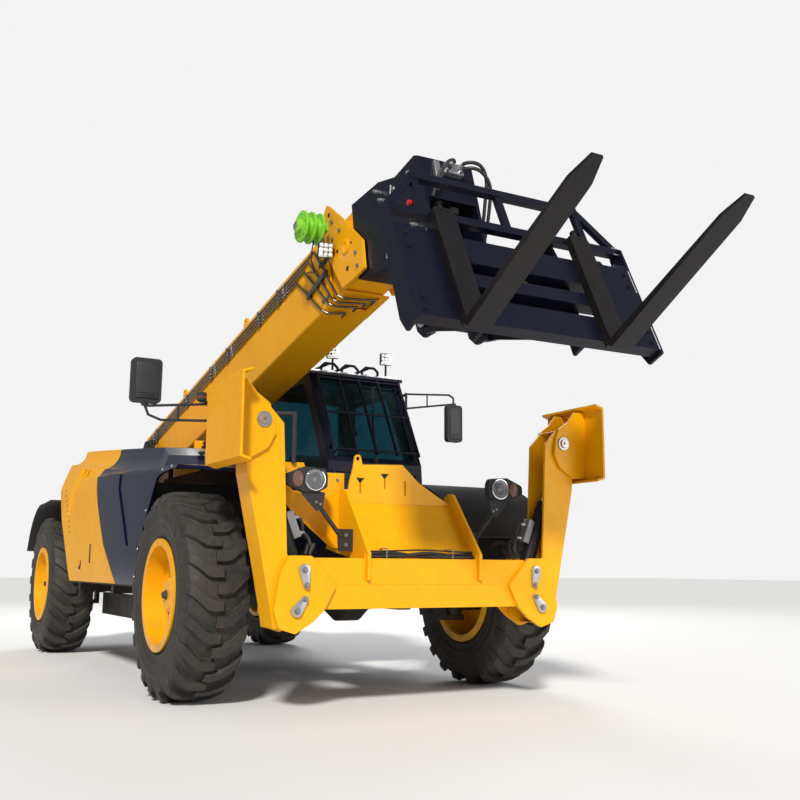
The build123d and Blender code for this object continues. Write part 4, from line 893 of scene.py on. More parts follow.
@dataclass
class LegTrim:
    """Pin keepers, foot-pin washers, check valve and hoses of one stabiliser.

    Attributes:
        hand: Which side it is on.
        sign: 1 on the left, -1 on the right.
        cheek_face: Front face of the crossbeam's cheek.
        foot_face: Front face of the foot's cheek.
        keeper_rows: Rows of (pin, tail) of the keepers, each as across and up.
        keeper: Thickness of a keeper.
        cylinder_line: Foot and eye of the cylinder, each as across and up.
        cylinder_back: The cylinder's place behind the front axle.
    """

    hand: str
    sign: int
    cheek_face: float = -1.0353
    foot_face: float = -1.0243
    keeper_rows: tuple[tuple[Point, Point], ...] = (
        ((0.765, 0.775), (0.752, 0.693)), ((0.805, 0.560), (0.758, 0.622)))
    keeper: float = 0.018
    cylinder_line: tuple[Point, Point] = ((0.765, 0.775), (0.965, 1.290))
    cylinder_back: float = -0.9175

    def build(self) -> None:
        """Add the stabiliser's fittings."""
        self.keepers()
        self.foot_pin()
        self.valve()

    def keepers(self) -> None:
        """Two teardrop keepers, each with a bolt in its head and in its tail."""
        shape, bolts = Shape(), Shape()
        for (x, z), (tail_x, tail_z) in self.keeper_rows:
            middle = place(self.sign * x, self.cheek_face, z)
            tail = place(self.sign * tail_x, self.cheek_face, tail_z)
            self.teardrop(shape, middle, tail)
            bolts.bolt(tail + AHEAD * self.keeper, AHEAD, 0.012)
            bolts.bolt(middle + AHEAD * self.keeper, AHEAD, 0.013)
        shape.done(f"pin_keepers_{self.hand}", STEEL, "chassis")
        bolts.done(f"keeper_bolts_{self.hand}", STEEL_DULL, "chassis")

    def teardrop(self, shape: Shape, middle: Vector, tail: Vector) -> None:
        """Add a plate with a round head and a narrower round tail.

        Args:
            shape: Where it goes.
            middle: Middle of the head.
            tail: Middle of the tail.
        """
        run = (tail - middle).normalized()
        cross = AHEAD.cross(run)
        outline = []
        for centre, radius, low, high in ((middle, 0.032, 70, 290), (tail, 0.018, -80, 80)):
            for step in range(13):
                angle = math.radians(low + (high - low) * step / 12)
                outline.append(centre + run * radius * math.cos(angle) + cross * radius * math.sin(angle))
        shape.plate(outline, AHEAD * self.keeper, 0.0012)

    def foot_pin(self) -> None:
        """A washer and a grease nipple's boss on the foot's pin."""
        middle = place(self.sign * 1.010, self.foot_face, 1.570)
        washer = Shape()
        washer.lathe(((0.0, 0.0265), (0.0, 0.043), (0.007, 0.043), (0.009, 0.041), (0.009, 0.0265),
                      (0.0, 0.0265)), middle, AHEAD, 36)
        washer.rod(middle + AHEAD * 0.0177, middle + AHEAD * 0.0195, 0.0245, sides=30)
        washer.done(f"foot_pin_washer_{self.hand}", STEEL, f"leg_{self.hand}")
        nipple = Shape()
        nipple.rod(middle + AHEAD * 0.0195, middle + AHEAD * 0.026, 0.011, 0.008, 6)
        nipple.done(f"foot_pin_nipple_{self.hand}", BRASS, f"leg_{self.hand}")

    def valve(self) -> None:
        """The check valve on the stabiliser's cylinder, its fittings and two hoses."""
        foot, eye = (place(self.sign * across, self.cylinder_back, up) for across, up in self.cylinder_line)
        run = (eye - foot).normalized()
        inward = Vector((-self.sign, 0, 0))
        spot = foot + run * 0.26 + inward * 0.068
        body = f"leg_cylinder_{self.hand}"
        shape = Shape()
        shape.block((0.15, 0.060, 0.046), upright(spot, run, inward), 0.004)
        shape.done(f"check_valve_{self.hand}", STEEL_DULL, body)
        unions = Shape()
        for off in (-0.045, 0.045):
            unions.union(spot + run * off + inward * 0.022, inward, 0.013, 0.022, 16)
        unions.done(f"valve_unions_{self.hand}", STEEL, body)
        for index, off in enumerate((-0.045, 0.045)):
            start = spot + run * off + inward * 0.036
            aside = Vector((0, 0.03 * (2 * index - 1), 0))
            hose(f"leg_hose_{self.hand}_{index}",
                 [start, start + inward * 0.04, start + inward * 0.06 - UP * 0.10 + aside,
                  foot + inward * 0.10 + UP * 0.16 + aside, foot + inward * 0.07 + UP * 0.085 + aside],
                 0.010, RUBBER_HOSE, body)


@dataclass
class FrontTrim:
    """Lamps, hoses and welds of the front crossbeam and bracket.

    Attributes:
        lamp_face: Front face of the lamps' shells.
        beam_top: Top face of the crossbeam.
        beam_face: Front face of the crossbeam.
        lamp_up: Height of the lamps' middles.
        lamp_across: How far across the lamps' middles are.
        indicator_across: How far across the indicators' middles are.
        bar: Distance between the bars on a lens.
    """

    lamp_face: float = -0.8603
    beam_top: float = 0.840
    beam_face: float = -1.0103
    lamp_up: float = 1.276
    lamp_across: float = 0.632
    indicator_across: float = 0.737
    bar: float = 0.0115

    def build(self) -> None:
        """Add everything at the front."""
        for hand, sign in HANDS:
            self.lamp(hand, sign)
        self.beam_hoses()
        self.welds()
        self.bolts()

    def lamp(self, hand: str, sign: int) -> None:
        """One lamp's reflector, its clear lens and its indicator.

        Args:
            hand: Which side it is on.
            sign: 1 on the left, -1 on the right.
        """
        middle = place(sign * self.lamp_across, self.lamp_face, self.lamp_up)
        bezel = Shape()
        bezel.lathe(((0.0, 0.060), (0.004, 0.064), (0.010, 0.063), (0.011, 0.058), (0.006, 0.056),
                     (0.002, 0.046), (-0.010, 0.020), (-0.012, 0.0), (-0.014, 0.0), (-0.014, 0.050),
                     (0.0, 0.060)), middle, AHEAD, 48)
        bezel.done(f"lamp_reflector_{hand}", REFLECTOR, "chassis")
        lens = Shape()
        lens.lathe(((0.0065, 0.0), (0.0065, 0.0575), (0.012, 0.0575), (0.020, 0.044), (0.025, 0.024),
                    (0.027, 0.0)), middle, AHEAD, 48)
        for index in range(-4, 5):
            reach = math.sqrt(0.052 ** 2 - (index * self.bar) ** 2)
            spot = middle + LEFTWARDS * index * self.bar + AHEAD * 0.013
            lens.rod(spot - UP * reach, spot + UP * reach, 0.0022, sides=8)
        lens.done(f"lamp_lens_{hand}", CLEAR_LENS, "chassis", 40.0)
        bulb = Shape()
        bulb.rod(middle - AHEAD * 0.004, middle + AHEAD * 0.005, 0.014, 0.010, 20)
        bulb.done(f"lamp_bulb_{hand}", BULB, "chassis")
        side = place(sign * self.indicator_across, self.lamp_face, self.lamp_up)
        cell = Shape()
        cell.lathe(((0.0, 0.0), (0.0, 0.040), (0.008, 0.040), (0.015, 0.030), (0.018, 0.012), (0.018, 0.0)),
                   side, AHEAD, 36)
        squash = Matrix.Diagonal((0.82, 1.0, 1.12, 1.0))
        cell.mesh.transform(Matrix.Translation(side) @ squash @ Matrix.Translation(-side))
        cell.done(f"lamp_indicator_{hand}", INDICATOR, "chassis", 40.0)

    def beam_hoses(self) -> None:
        """A bundle of hoses and a harness along the crossbeam's top, with their clips."""
        table = (  # radius, then the height over the beam and the place back at each stop
            (0.011, (0.011, -0.975), (0.011, -0.990), (0.013, -0.955), (0.020, -0.975), (0.011, -0.962)),
            (0.010, (0.010, -0.950), (0.030, -0.950), (0.034, -0.985), (0.011, -0.940), (0.010, -0.968)),
            (0.008, (0.030, -0.958), (0.012, -0.922), (0.009, -0.925), (0.034, -0.955), (0.030, -0.950)),
            (0.009, (0.009, -0.920), (0.022, -0.972), (0.030, -0.930), (0.009, -0.985), (0.009, -0.936)),
            (0.005, (0.042, -0.965), (0.048, -0.960), (0.052, -0.950), (0.046, -0.970), (0.040, -0.940)),
        )
        stops = (0.260, 0.140, 0.000, -0.130, -0.270)
        for index, (radius, *spots) in enumerate(table):
            points = [place(0.352, spots[0][1], self.beam_top + spots[0][0])]
            points += [place(across, back, self.beam_top + up) for across, (up, back) in zip(stops, spots)]
            points.append(place(-0.352, spots[-1][1], self.beam_top + spots[-1][0]))
            hose(f"beam_hose_{index}", points, radius, RUBBER_HOSE, "chassis")
        clips = Shape()
        for across in (0.20, -0.24):
            top = self.beam_top + 0.056
            clips.block((0.014, 0.075, 0.004), Matrix.Translation(place(across, -0.955, top)), 0.001)
            for back in (-0.994, -0.916):
                clips.rod(place(across, back, self.beam_top), place(across, back, top), 0.004, sides=8)
        clips.done("beam_hose_clips", STEEL_DULL, "chassis")

    def welds(self) -> None:
        """Weld beads where the gussets and plates meet the crossbeam."""
        for index, across in enumerate((-0.385, -0.355, 0.355, 0.385)):
            bead(f"gusset_weld_{index}", place(across, self.beam_face, 0.722),
                 place(across, self.beam_face, 0.868), 0.005, YELLOW, "chassis")
        top = self.beam_top + 0.002
        bead("slope_weld", place(-0.355, -0.957, top), place(0.355, -0.957, top), 0.006, YELLOW, "chassis")
        for hand, sign in HANDS:
            bead(f"cheek_weld_{hand}", place(sign * 0.590, self.beam_face, 0.700),
                 place(sign * 0.655, self.beam_face, 0.566), 0.006, YELLOW, "chassis")
        face = self.beam_face + 0.001
        bead("beam_seam", place(-0.60, face, 0.697), place(0.60, face, 0.697), 0.0025, YELLOW, "chassis")

    def bolts(self) -> None:
        """Bolts of the lamp stands and of the cowl."""
        shape = Shape()
        for _, sign in HANDS:
            for up in (0.915, 0.970):
                shape.bolt(place(sign * 0.425, -0.8463, up), AHEAD, 0.009)
            for across, up in ((0.590, 1.140), (0.615, 1.150)):
                shape.bolt(place(sign * across, -0.8483, up), AHEAD, 0.006)
        for across, up in ((-0.730, 1.345), (-0.640, 1.352), (-0.390, 1.300), (-0.385, 1.000)):
            shape.bolt(place(across, -0.6503, up), AHEAD, 0.008)
        shape.done("front_bolts", STEEL_DULL, "chassis")


def bead(name: str, start: Vector, end: Vector, radius: float, finish: Finish, body: str) -> bpy.types.Object:
    """A weld bead: a low ridge of overlapping ripples.

    Args:
        name: Name of the piece.
        start: One end.
        end: The other end.
        radius: Half its width.
        finish: Its finish.
        body: Body that it rides on.

    Returns:
        The object.
    """
    shape = Shape()
    run = end - start
    count = max(4, round(run.length / (radius * 2.4)))
    profile = [(0.0, 0.0)]
    for index in range(count):
        near = run.length * index / count
        step = run.length / count
        profile += [(near, radius * 0.74), (near + step * 0.5, radius)]
    profile += [(run.length, radius * 0.74), (run.length, 0.0)]
    shape.lathe(profile, start, run, 10)
    return shape.done(name, finish, body, 60.0)


@dataclass
class CoverTrim:
    """Ribs, slots, handle, knob and rivets of the engine covers.

    Attributes:
        side: Place of the covers' outer side.
        crest: Rows of (back, top, lean of the side, corner radius) along the rear cover.
        rib_lines: Rows of (upper end, lower end) of the ribs, each as back and up.
        rib_bend: Height where the side starts to lean.
    """

    side: float = -1.220
    crest: tuple[tuple[float, float, float, float], ...] = (
        (1.380, 1.679, 0.0, 0.200), (2.785, 1.800, 0.050, 0.160), (3.420, 1.850, 0.090, 0.130))
    rib_lines: tuple[tuple[Point, Point], ...] = (
        ((2.713, 1.603), (3.034, 1.165)), ((2.577, 1.592), (2.939, 1.204)), ((2.412, 1.578), (2.806, 1.227)))
    rib_bend: float = 1.40

    def on_side(self, back: float, up: float, out: float = 0.0) -> Vector:
        """A place on the rear cover's leaning side.

        Args:
            back: Metres behind the front axle.
            up: Metres over the ground.
            out: Metres off the surface.

        Returns:
            The point in the frame.
        """
        for (near, *low), (far, *high) in zip(self.crest, self.crest[1:]):
            if back <= far:
                break
        share = min(1.0, max(0.0, (back - near) / (far - near)))
        top, lean, corner = (a + (b - a) * share for a, b in zip(low, high))
        start, end = top - 0.400, top - 0.025 - corner
        rise = min(1.0, max(0.0, (up - start) / (end - start)))
        return place(self.side + lean * rise - out, back, up)

    def build(self) -> None:
        """Add the covers' details."""
        self.ribs()
        self.slots()
        self.fastenings()

    def ribs(self) -> None:
        """Three slanting ribs pressed in the rear cover's side."""
        shape = Shape()
        for (back0, up0), (back1, up1) in self.rib_lines:
            bend = (up0 - self.rib_bend) / (up0 - up1)
            stops = (0.0, bend * 0.5, bend, (1 + bend) / 2, 1.0)
            spots = [(back0 + (back1 - back0) * t, up0 + (up1 - up0) * t) for t in stops]
            for (b0, u0), (b1, u1) in zip(spots, spots[1:]):
                shape.rod(self.on_side(b0, u0, -0.002), self.on_side(b1, u1, -0.002), 0.007, sides=12)
        shape.done("cover_ribs", YELLOW_COVER, "engine_hood", 60.0)

    def slots(self) -> None:
        """A row of small air slots along the rear edge."""
        shape = Shape()
        lean = Vector((0, 0.42, 0.90)).normalized()
        for step in range(9):
            share = step / 8
            spot = self.on_side(3.150 - 0.272 * share, 1.440 - 0.366 * share, -0.001)
            shape.block((0.034, 0.009, 0.006), upright(spot, lean.cross(LEFTWARDS), LEFTWARDS), 0.0015)
        shape.done("cover_air_slots", BLACK_PLASTIC, "engine_hood")

    def fastenings(self) -> None:
        """The handle's slot and latch on the rear cover, and the knob and rivets on the front cover."""
        handle = Shape()
        for length, width, back, up, along, bevel in (
                (0.150, 0.028, 2.042, 0.883, UP, 0.004), (0.050, 0.030, 2.395, 0.775, AHEAD, 0.003),
                (0.060, 0.016, 2.370, 0.800, UP, 0.003)):
            spot = place(self.side - 0.001, back, up)
            handle.block((length, width, 0.008), upright(spot, along, LEFTWARDS), bevel)
        handle.done("cover_handle", BLACK_PLASTIC, "engine_hood")
        knob = Shape()
        knob.lathe(((0.0, 0.0), (0.0, 0.012), (0.012, 0.012), (0.014, 0.022), (0.026, 0.024), (0.032, 0.018),
                    (0.034, 0.0)), place(-0.880, 0.420, 1.513), UP, 28)
        knob.done("front_cover_knob", BLACK_PLASTIC, "chassis")
        rivets = Shape()
        for back, up in ((-0.060, 1.388), (0.140, 1.384), (0.480, 1.145), (0.640, 0.900), (0.700, 0.720)):
            rivets.lathe(((-0.001, 0.0), (-0.001, 0.009), (0.002, 0.008), (0.004, 0.005), (0.005, 0.0)),
                         place(self.side, back, up), -LEFTWARDS, 20)
        rivets.done("front_cover_rivets", STEEL, "chassis")


@dataclass
class BoomTrim:
    """Pipe unions, wear-pad bolts, cable reel and work lamp on the boom.

    Attributes:
        pipe_line: Place across of the pipes on the boom's right side.
        squares: Height of each pipe over the boom's middle line.
        union_rows: Places along the boom of the rows of unions.
        clamp_rows: Places along the boom of the pipes' clamps.
        clamp_squares: Heights of a clamp's bolts over the boom's middle line.
        mouth: Place along the boom of the wear pads' bolts.
        reel_middle: The reel's middle: across, along the boom, square to it.
    """

    pipe_line: float = -0.187
    squares: tuple[float, ...] = (0.215, 0.185, 0.155, 0.125)
    union_rows: tuple[float, ...] = (0.02, 1.93, 2.36, 3.49)
    clamp_rows: tuple[float, ...] = (0.165, 1.165, 1.85, 2.285, 3.015, 3.415)
    clamp_squares: tuple[float, ...] = (0.170, 0.2285, 0.1115)
    mouth: float = 4.215
    reel_middle: Point = (-0.345, 4.360, 0.215)

    def build(self) -> None:
        """Add the boom's details."""
        self.unions()
        self.pad_bolts()
        self.mid_cheeks()
        self.reel()
        self.work_lamp()

    def unions(self) -> None:
        """Screwed unions in the pipes, and the bolts of the clamps."""
        shape = Shape()
        for along in self.union_rows:
            for index, square in enumerate(self.squares):
                near = along + 0.006 * index
                for start, length in ((0.0, 0.018), (0.021, 0.013)):
                    shape.rod(on_boom(self.pipe_line, near + start, square),
                              on_boom(self.pipe_line, near + start + length, square), 0.0118, sides=6)
        for along in self.clamp_rows:
            for square in self.clamp_squares:
                shape.bolt(on_boom(self.pipe_line - 0.012, along, square), -LEFTWARDS, 0.006, False)
        shape.done("pipe_unions", STEEL, "boom_outer")

    def pad_bolts(self) -> None:
        """Bolts of the wear pads round the outer section's mouth."""
        shape = Shape()
        for side in (1, -1):
            for along, square in ((self.mouth, 0.235), (self.mouth, 0.060), (self.mouth, -0.210),
                                  (4.140, -0.210)):
                shape.bolt(on_boom(side * (BOOM_WIDTH / 2 + 0.0002), along, square), LEFTWARDS * side, 0.012)
        for across in (-0.11, 0.0, 0.11):
            shape.bolt(on_boom(across, self.mouth, BOOM_HEIGHT / 2), BOOM_UP, 0.012)
        shape.done("wear_pad_bolts", STEEL_DULL, "boom_outer")

    def mid_cheeks(self) -> None:
        """Bosses, bolts and plugged holes on the middle section's cheeks."""
        boss, bolts, holes = Shape(), Shape(), Shape()
        for side in (1, -1):
            face = side * 0.1952
            out = LEFTWARDS * side
            boss.lathe(((0.0, 0.0), (0.0, 0.052), (0.006, 0.052), (0.010, 0.044), (0.010, 0.030),
                        (0.004, 0.024), (0.004, 0.0)), on_boom(face, 4.560, -0.010), out, 36)
            for along, square in ((4.500, 0.150), (4.400, 0.270), (4.390, 0.140), (4.690, -0.120),
                                  (4.700, -0.220)):
                bolts.bolt(on_boom(face, along, square), out, 0.011)
            for along, square, radius in ((4.440, 0.020, 0.014), (4.560, -0.170, 0.018),
                                          (4.640, -0.020, 0.010), (4.360, 0.345, 0.016)):
                spot = on_boom(face - side * 0.001, along, square)
                holes.rod(spot, spot + out * 0.0022, radius, sides=24)
        boss.done("cheek_bosses", YELLOW, "boom_mid")
        bolts.done("cheek_bolts", STEEL_DULL, "boom_mid")
        holes.done("cheek_holes", BLACK, "boom_mid")

    def reel(self) -> None:
        """The green cable reel on its bracket, with its cable."""
        middle = on_boom(*self.reel_middle)
        drum = Shape()
        for start in (-0.070, -0.010, 0.050):
            drum.lathe(((start, 0.0), (start, 0.106), (start + 0.004, 0.110), (start + 0.014, 0.110),
                        (start + 0.018, 0.104), (start + 0.018, 0.0)), middle, LEFTWARDS, 56)
        drum.lathe(((-0.074, 0.0), (-0.074, 0.072), (0.070, 0.072), (0.070, 0.0)), middle, LEFTWARDS, 40)
        drum.lathe(((-0.110, 0.0), (-0.108, 0.030), (-0.096, 0.046), (-0.068, 0.050), (-0.068, 0.0)), middle,
                   LEFTWARDS, 36)
        for spot in ring_of(middle - LEFTWARDS * 0.070, LEFTWARDS, 0.088, 6):
            drum.rod(spot, spot - LEFTWARDS * 0.007, 0.007, sides=12)
        drum.block((0.110, 0.060, 0.036), upright(middle + LEFTWARDS * 0.094, BOOM_AHEAD, LEFTWARDS), 0.004)
        drum.done("cable_reel", GREEN, "boom_outer", 40.0)
        plate = Shape()
        base, foot = on_boom(-0.290, 4.330, 0.235), on_boom(-0.232, 4.235, 0.235)
        plate.block((0.200, 0.120, 0.006), upright(base, BOOM_AHEAD, LEFTWARDS), 0.001)
        plate.block((0.115, 0.050, 0.006), upright(foot, LEFTWARDS, BOOM_AHEAD), 0.001)
        plate.rod(on_boom(-0.290, 4.36, 0.235), on_boom(-0.330, 4.36, 0.235), 0.020, sides=20)
        plate.done("reel_bracket", STEEL_DULL, "boom_outer")
        label = Shape()
        seat = upright(middle - LEFTWARDS * 0.1105, BOOM_AHEAD, LEFTWARDS)
        label.block((0.060, 0.040, 0.0012), seat, 0.0003)
        label.done("reel_blank_plate", STEEL, "boom_outer")
        hose("reel_cable", [middle + LEFTWARDS * 0.02 - BOOM_UP * 0.095, middle - BOOM_UP * 0.17,
                            on_boom(-0.330, 4.300, 0.010), on_boom(-0.235, 4.170, -0.010),
                            on_boom(-0.205, 4.060, 0.060), on_boom(-0.200, 3.960, 0.100)],
             0.0045, RUBBER_HOSE, "boom_outer")

    def work_lamp(self) -> None:
        """A square lamp of nine cells beside the boom's mouth."""
        spot = on_boom(-0.262, 4.400, 0.040)
        face = Vector((-0.25, -0.94, -0.22)).normalized()
        square_lamp("boom_work_lamp", spot, face, "boom_outer")
        arm = Shape()
        arm.block((0.240, 0.034, 0.006), upright(on_boom(-0.205, 4.290, 0.040), BOOM_AHEAD, LEFTWARDS), 0.001)
        arm.block((0.070, 0.034, 0.006), upright(on_boom(-0.232, 4.405, 0.040), LEFTWARDS, BOOM_AHEAD), 0.001)
        arm.done("work_lamp_arm", BLACK, "boom_outer")


def square_lamp(name: str, spot: Vector, face: Vector, body: str) -> None:
    """A square lamp with three rows of three cells, cooling fins and a bracket's stub.

    Args:
        name: Name of the pieces.
        spot: Middle of the lamp.
        face: Which way it shines.
        body: Body that it rides on.
    """
    turn = upright(spot, face)
    case = Shape()
    case.block((0.034, 0.104, 0.104), turn, 0.008)
    for index in range(-3, 4):
        fin = turn @ Matrix.Translation((-0.028, index * 0.013, 0.0))
        case.block((0.026, 0.004, 0.088), fin, 0.001)
    case.done(f"{name}_case", BLACK_PLASTIC, body)
    cells = Shape()
    for row in range(-1, 2):
        for column in range(-1, 2):
            start = turn @ Vector((0.0165, row * 0.030, column * 0.030))
            cells.lathe(((0.0, 0.0), (0.0, 0.0135), (0.002, 0.0135), (0.0045, 0.009), (0.005, 0.0)),
                        start, face, 20)
    cells.done(f"{name}_cells", LAMP_CELL, body, 50.0)
    rim = Shape()
    rim.block((0.003, 0.096, 0.096), turn @ Matrix.Translation((0.0172, 0.0, 0.0)), 0.001)
    rim.done(f"{name}_plate", REFLECTOR, body)


@dataclass
class HeadTrim:
    """Fittings and hoses on the boom's head, and details of the fork frame.

    Attributes:
        neck: Place across of the neck plates' outer faces.
        flange: Place across of the fork frame's end flanges.
    """

    neck: float = 0.185
    flange: float = 0.750

    def build(self) -> None:
        """Add the head's and the frame's details."""
        self.fittings()
        self.hoses()
        self.frame_details()
        self.fork_details()

    def fittings(self) -> None:
        """Bolts, caps and a valve on the head."""
        bolts, caps, valve = Shape(), Shape(), Shape()
        for side in (1, -1):
            out = LEFTWARDS * side
            for back, up in ((-0.940, 3.060), (-1.120, 3.100), (-1.200, 3.060), (-0.950, 2.700),
                             (-1.300, 2.350)):
                bolts.bolt(place(side * (self.neck + 0.0002), back, up), out, 0.012)
            spot = place(side * (self.neck + 0.0002), -1.150, 2.900)
            caps.lathe(((0.0, 0.0), (0.0, 0.018), (0.020, 0.017), (0.024, 0.012), (0.025, 0.0)),
                       spot, out, 24)
            pin = place(side * 0.2252, -1.350, 2.150)
            bolts.lathe(((0.0, 0.0), (0.0, 0.046), (0.008, 0.046), (0.010, 0.042), (0.010, 0.0)),
                        pin, out, 32)
        face = Vector((0, -0.955, 0.296))
        valve.block((0.050, 0.125, 0.075), upright(place(0.020, -1.283, 3.095), face), 0.006)
        valve.block((0.034, 0.040, 0.120), upright(place(-0.080, -1.268, 3.085), face), 0.004)
        for across, up in ((0.060, 3.115), (0.060, 3.080), (0.000, 3.115), (-0.030, 3.075)):
            bolts.union(place(across, -1.305, up), face, 0.013, 0.020)
        for back, up, length in ((-0.780, 3.040, 0.030), (-0.850, 2.960, 0.024), (-1.190, 2.830, 0.040),
                                 (-1.205, 2.790, 0.034), (-1.215, 2.745, 0.028), (-0.730, 3.110, 0.036)):
            bolts.union(place(-0.165 if back > -0.86 else -self.neck, back, up), -LEFTWARDS, 0.015, length)
        bolts.done("head_fittings", STEEL, "boom_inner")
        caps.done("head_caps", RED, "boom_inner")
        valve.done("head_valves", STEEL, "boom_inner")
        for hand, sign in HANDS:
            side = sign * (self.neck + 0.001)
            bead(f"neck_weld_{hand}", place(side, -0.905, 3.095), place(side, -0.868, 2.640), 0.0075,
                 WELD_AND_HIGHLIGHT, "boom_inner")

    def hoses(self) -> None:
        """Two hoses from the valve over the neck and down its left side, and two short ones on its front."""
        for index, up in enumerate((3.115, 3.080)):
            start = place(0.060, -1.338, up + 0.010)
            aside = 0.218 + 0.030 * index
            hose(f"head_hose_{index}",
                 [start, start + Vector((0.02, -0.035, 0.008)), place(0.150, -1.395, up + 0.005),
                  place(aside - 0.01, -1.370, up - 0.060), place(aside, -1.330, up - 0.200),
                  place(aside + 0.01, -1.290, 2.780), place(aside, -1.250, 2.640),
                  place(0.200, -1.215, 2.540), place(0.186, -1.190, 2.500)],
                 0.011, RUBBER_HOSE, "boom_inner")
        for index, (across, up) in enumerate(((0.000, 3.115), (-0.030, 3.075))):
            start = place(across, -1.338, up + 0.010)
            hose(f"neck_hose_{index}",
                 [start, start + Vector((-0.02, -0.030, 0.006)), place(across - 0.080, -1.370, up - 0.020),
                  place(across - 0.110, -1.360, up - 0.110), place(across - 0.120, -1.345, up - 0.190)],
                 0.010, RUBBER_HOSE, "boom_inner")

    def frame_details(self) -> None:
        """Brass pin, weld beads, hook knobs and plate bolts of the fork frame; the left-hand beads' light
        grey is a painted highlight.
        """
        pin = Shape()
        pin.lathe(((0.0, 0.0), (0.0, 0.022), (0.014, 0.022), (0.020, 0.016), (0.020, 0.0)),
                  on_fork_frame(0.0, -0.060, 0.365), FACE_OUT, 28)
        pin.done("hitch_pin", BRASS, "carriage")
        knobs = Shape()
        for side in (1, -1):
            spot = on_fork_frame(side * 0.315, -0.050, 0.790)
            knobs.lathe(((-0.016, 0.0), (-0.016, 0.026), (0.016, 0.026), (0.016, 0.0)), spot, LEFTWARDS, 28)
            for up in (0.060, 0.130, 0.440, 0.520):
                knobs.bolt(on_fork_frame(side * 0.690, 0.0005, up), FACE_OUT, 0.010)
        knobs.done("frame_bolts", FORK_STEEL, "carriage")
        # Painted highlight: the left hand's flange and rail beads are light grey bare metal, standing for
        # glints on the lit flange; the right hand's stay navy.
        for (hand, sign), finish in zip(HANDS, (WELD_AND_HIGHLIGHT, NAVY)):
            across = sign * (self.flange - 0.0165)
            for index, (low, high) in enumerate(((0.024, 0.170), (0.254, 0.326), (0.404, 0.556))):
                bead(f"flange_weld_{hand}_{index}", on_fork_frame(across, -0.002, low),
                     on_fork_frame(across, -0.002, high), 0.005, finish, "carriage")
            for index, up in enumerate((0.692, 0.738)):
                bead(f"rail_weld_{hand}_{index}", on_fork_frame(sign * 0.700, -0.0195, up),
                     on_fork_frame(sign * 0.742, -0.0195, up), 0.004, finish, "carriage")

    def fork_details(self) -> None:
        """Locating latches at the forks' upper hooks."""
        shape = Shape()
        for side in (1, -1):
            across = -0.025 + side * 0.430
            seat = on_fork_frame(across, 0.010, 0.700)
            shape.block((0.060, 0.100, 0.020), upright(seat, FACE_OUT, FACE_UP), 0.004)
            spot = on_fork_frame(across, 0.020, 0.710)
            shape.rod(spot, spot + FACE_UP * 0.035, 0.014, sides=20)
            shape.rod(spot + FACE_UP * 0.035, spot + FACE_UP * 0.042, 0.020, sides=20)
        shape.done("fork_latches", FORK_STEEL, "carriage")


@dataclass
class MirrorTrim:
    """Mirror glasses, ribs of their backs, and the marker lamp on the right mirror's arm.

    Attributes:
        cases: Rows of (low across, high across, front, rear, low, high) of the mirrors' cases.
    """

    cases: tuple[tuple[float, float, float, float, float, float], ...] = (
        (-1.478, -1.292, -0.020, 0.025, 1.770, 2.045), (1.332, 1.478, 0.870, 0.920, 1.810, 2.116))

    def build(self) -> None:
        """Add the mirrors' details."""
        for name, (low_x, high_x, front, rear, low, high) in zip(("right", "left"), self.cases):
            middle_x, middle_z = (low_x + high_x) / 2, (low + high) / 2
            width, height = high_x - low_x, high - low
            glass = Shape()
            glass.block((0.004, width - 0.024, height - 0.024),
                        upright(place(middle_x, rear + 0.0012, middle_z), -AHEAD), 0.0015)
            glass.done(f"mirror_glass_{name}", MIRROR, "chassis")
            back = Shape()
            back.block((0.008, width - 0.050, height - 0.050),
                       upright(place(middle_x, front - 0.003, middle_z)), 0.0035, 3)
            for index in (-1, 0, 1):
                rib = place(middle_x, front - 0.0085, middle_z - height * 0.33 + index * 0.014)
                back.block((0.005, width - 0.085, 0.006), upright(rib), 0.001)
            back.done(f"mirror_back_{name}", MIRROR_BACK, "chassis")
            hub = Shape()
            foot = low if name == "right" else high
            seat = Matrix.Translation(place(middle_x, (front + rear) / 2, foot))
            hub.block((0.040, 0.034, 0.034), seat, 0.005)
            hub.done(f"mirror_clamp_{name}", BLACK_PLASTIC, "chassis")
        lamp = Shape()
        spot = place(-1.172, -0.440, 1.738)
        lamp.lathe(((0.0, 0.0), (0.0, 0.026), (0.012, 0.030), (0.014, 0.030), (0.014, 0.0)), spot, UP, 32)
        lamp.lathe(((0.028, 0.0), (0.028, 0.029), (0.046, 0.028), (0.050, 0.020), (0.050, 0.0)), spot, UP, 32)
        lamp.block((0.070, 0.030, 0.010), Matrix.Translation(place(-1.148, -0.440, 1.735)), 0.002)
        lamp.done("marker_lamp", BLACK_PLASTIC, "chassis")
        band = Shape()
        band.lathe(((0.014, 0.0), (0.014, 0.0285), (0.028, 0.0285), (0.028, 0.0)), spot, UP, 32)
        band.done("marker_lamp_band", AMBER, "chassis")


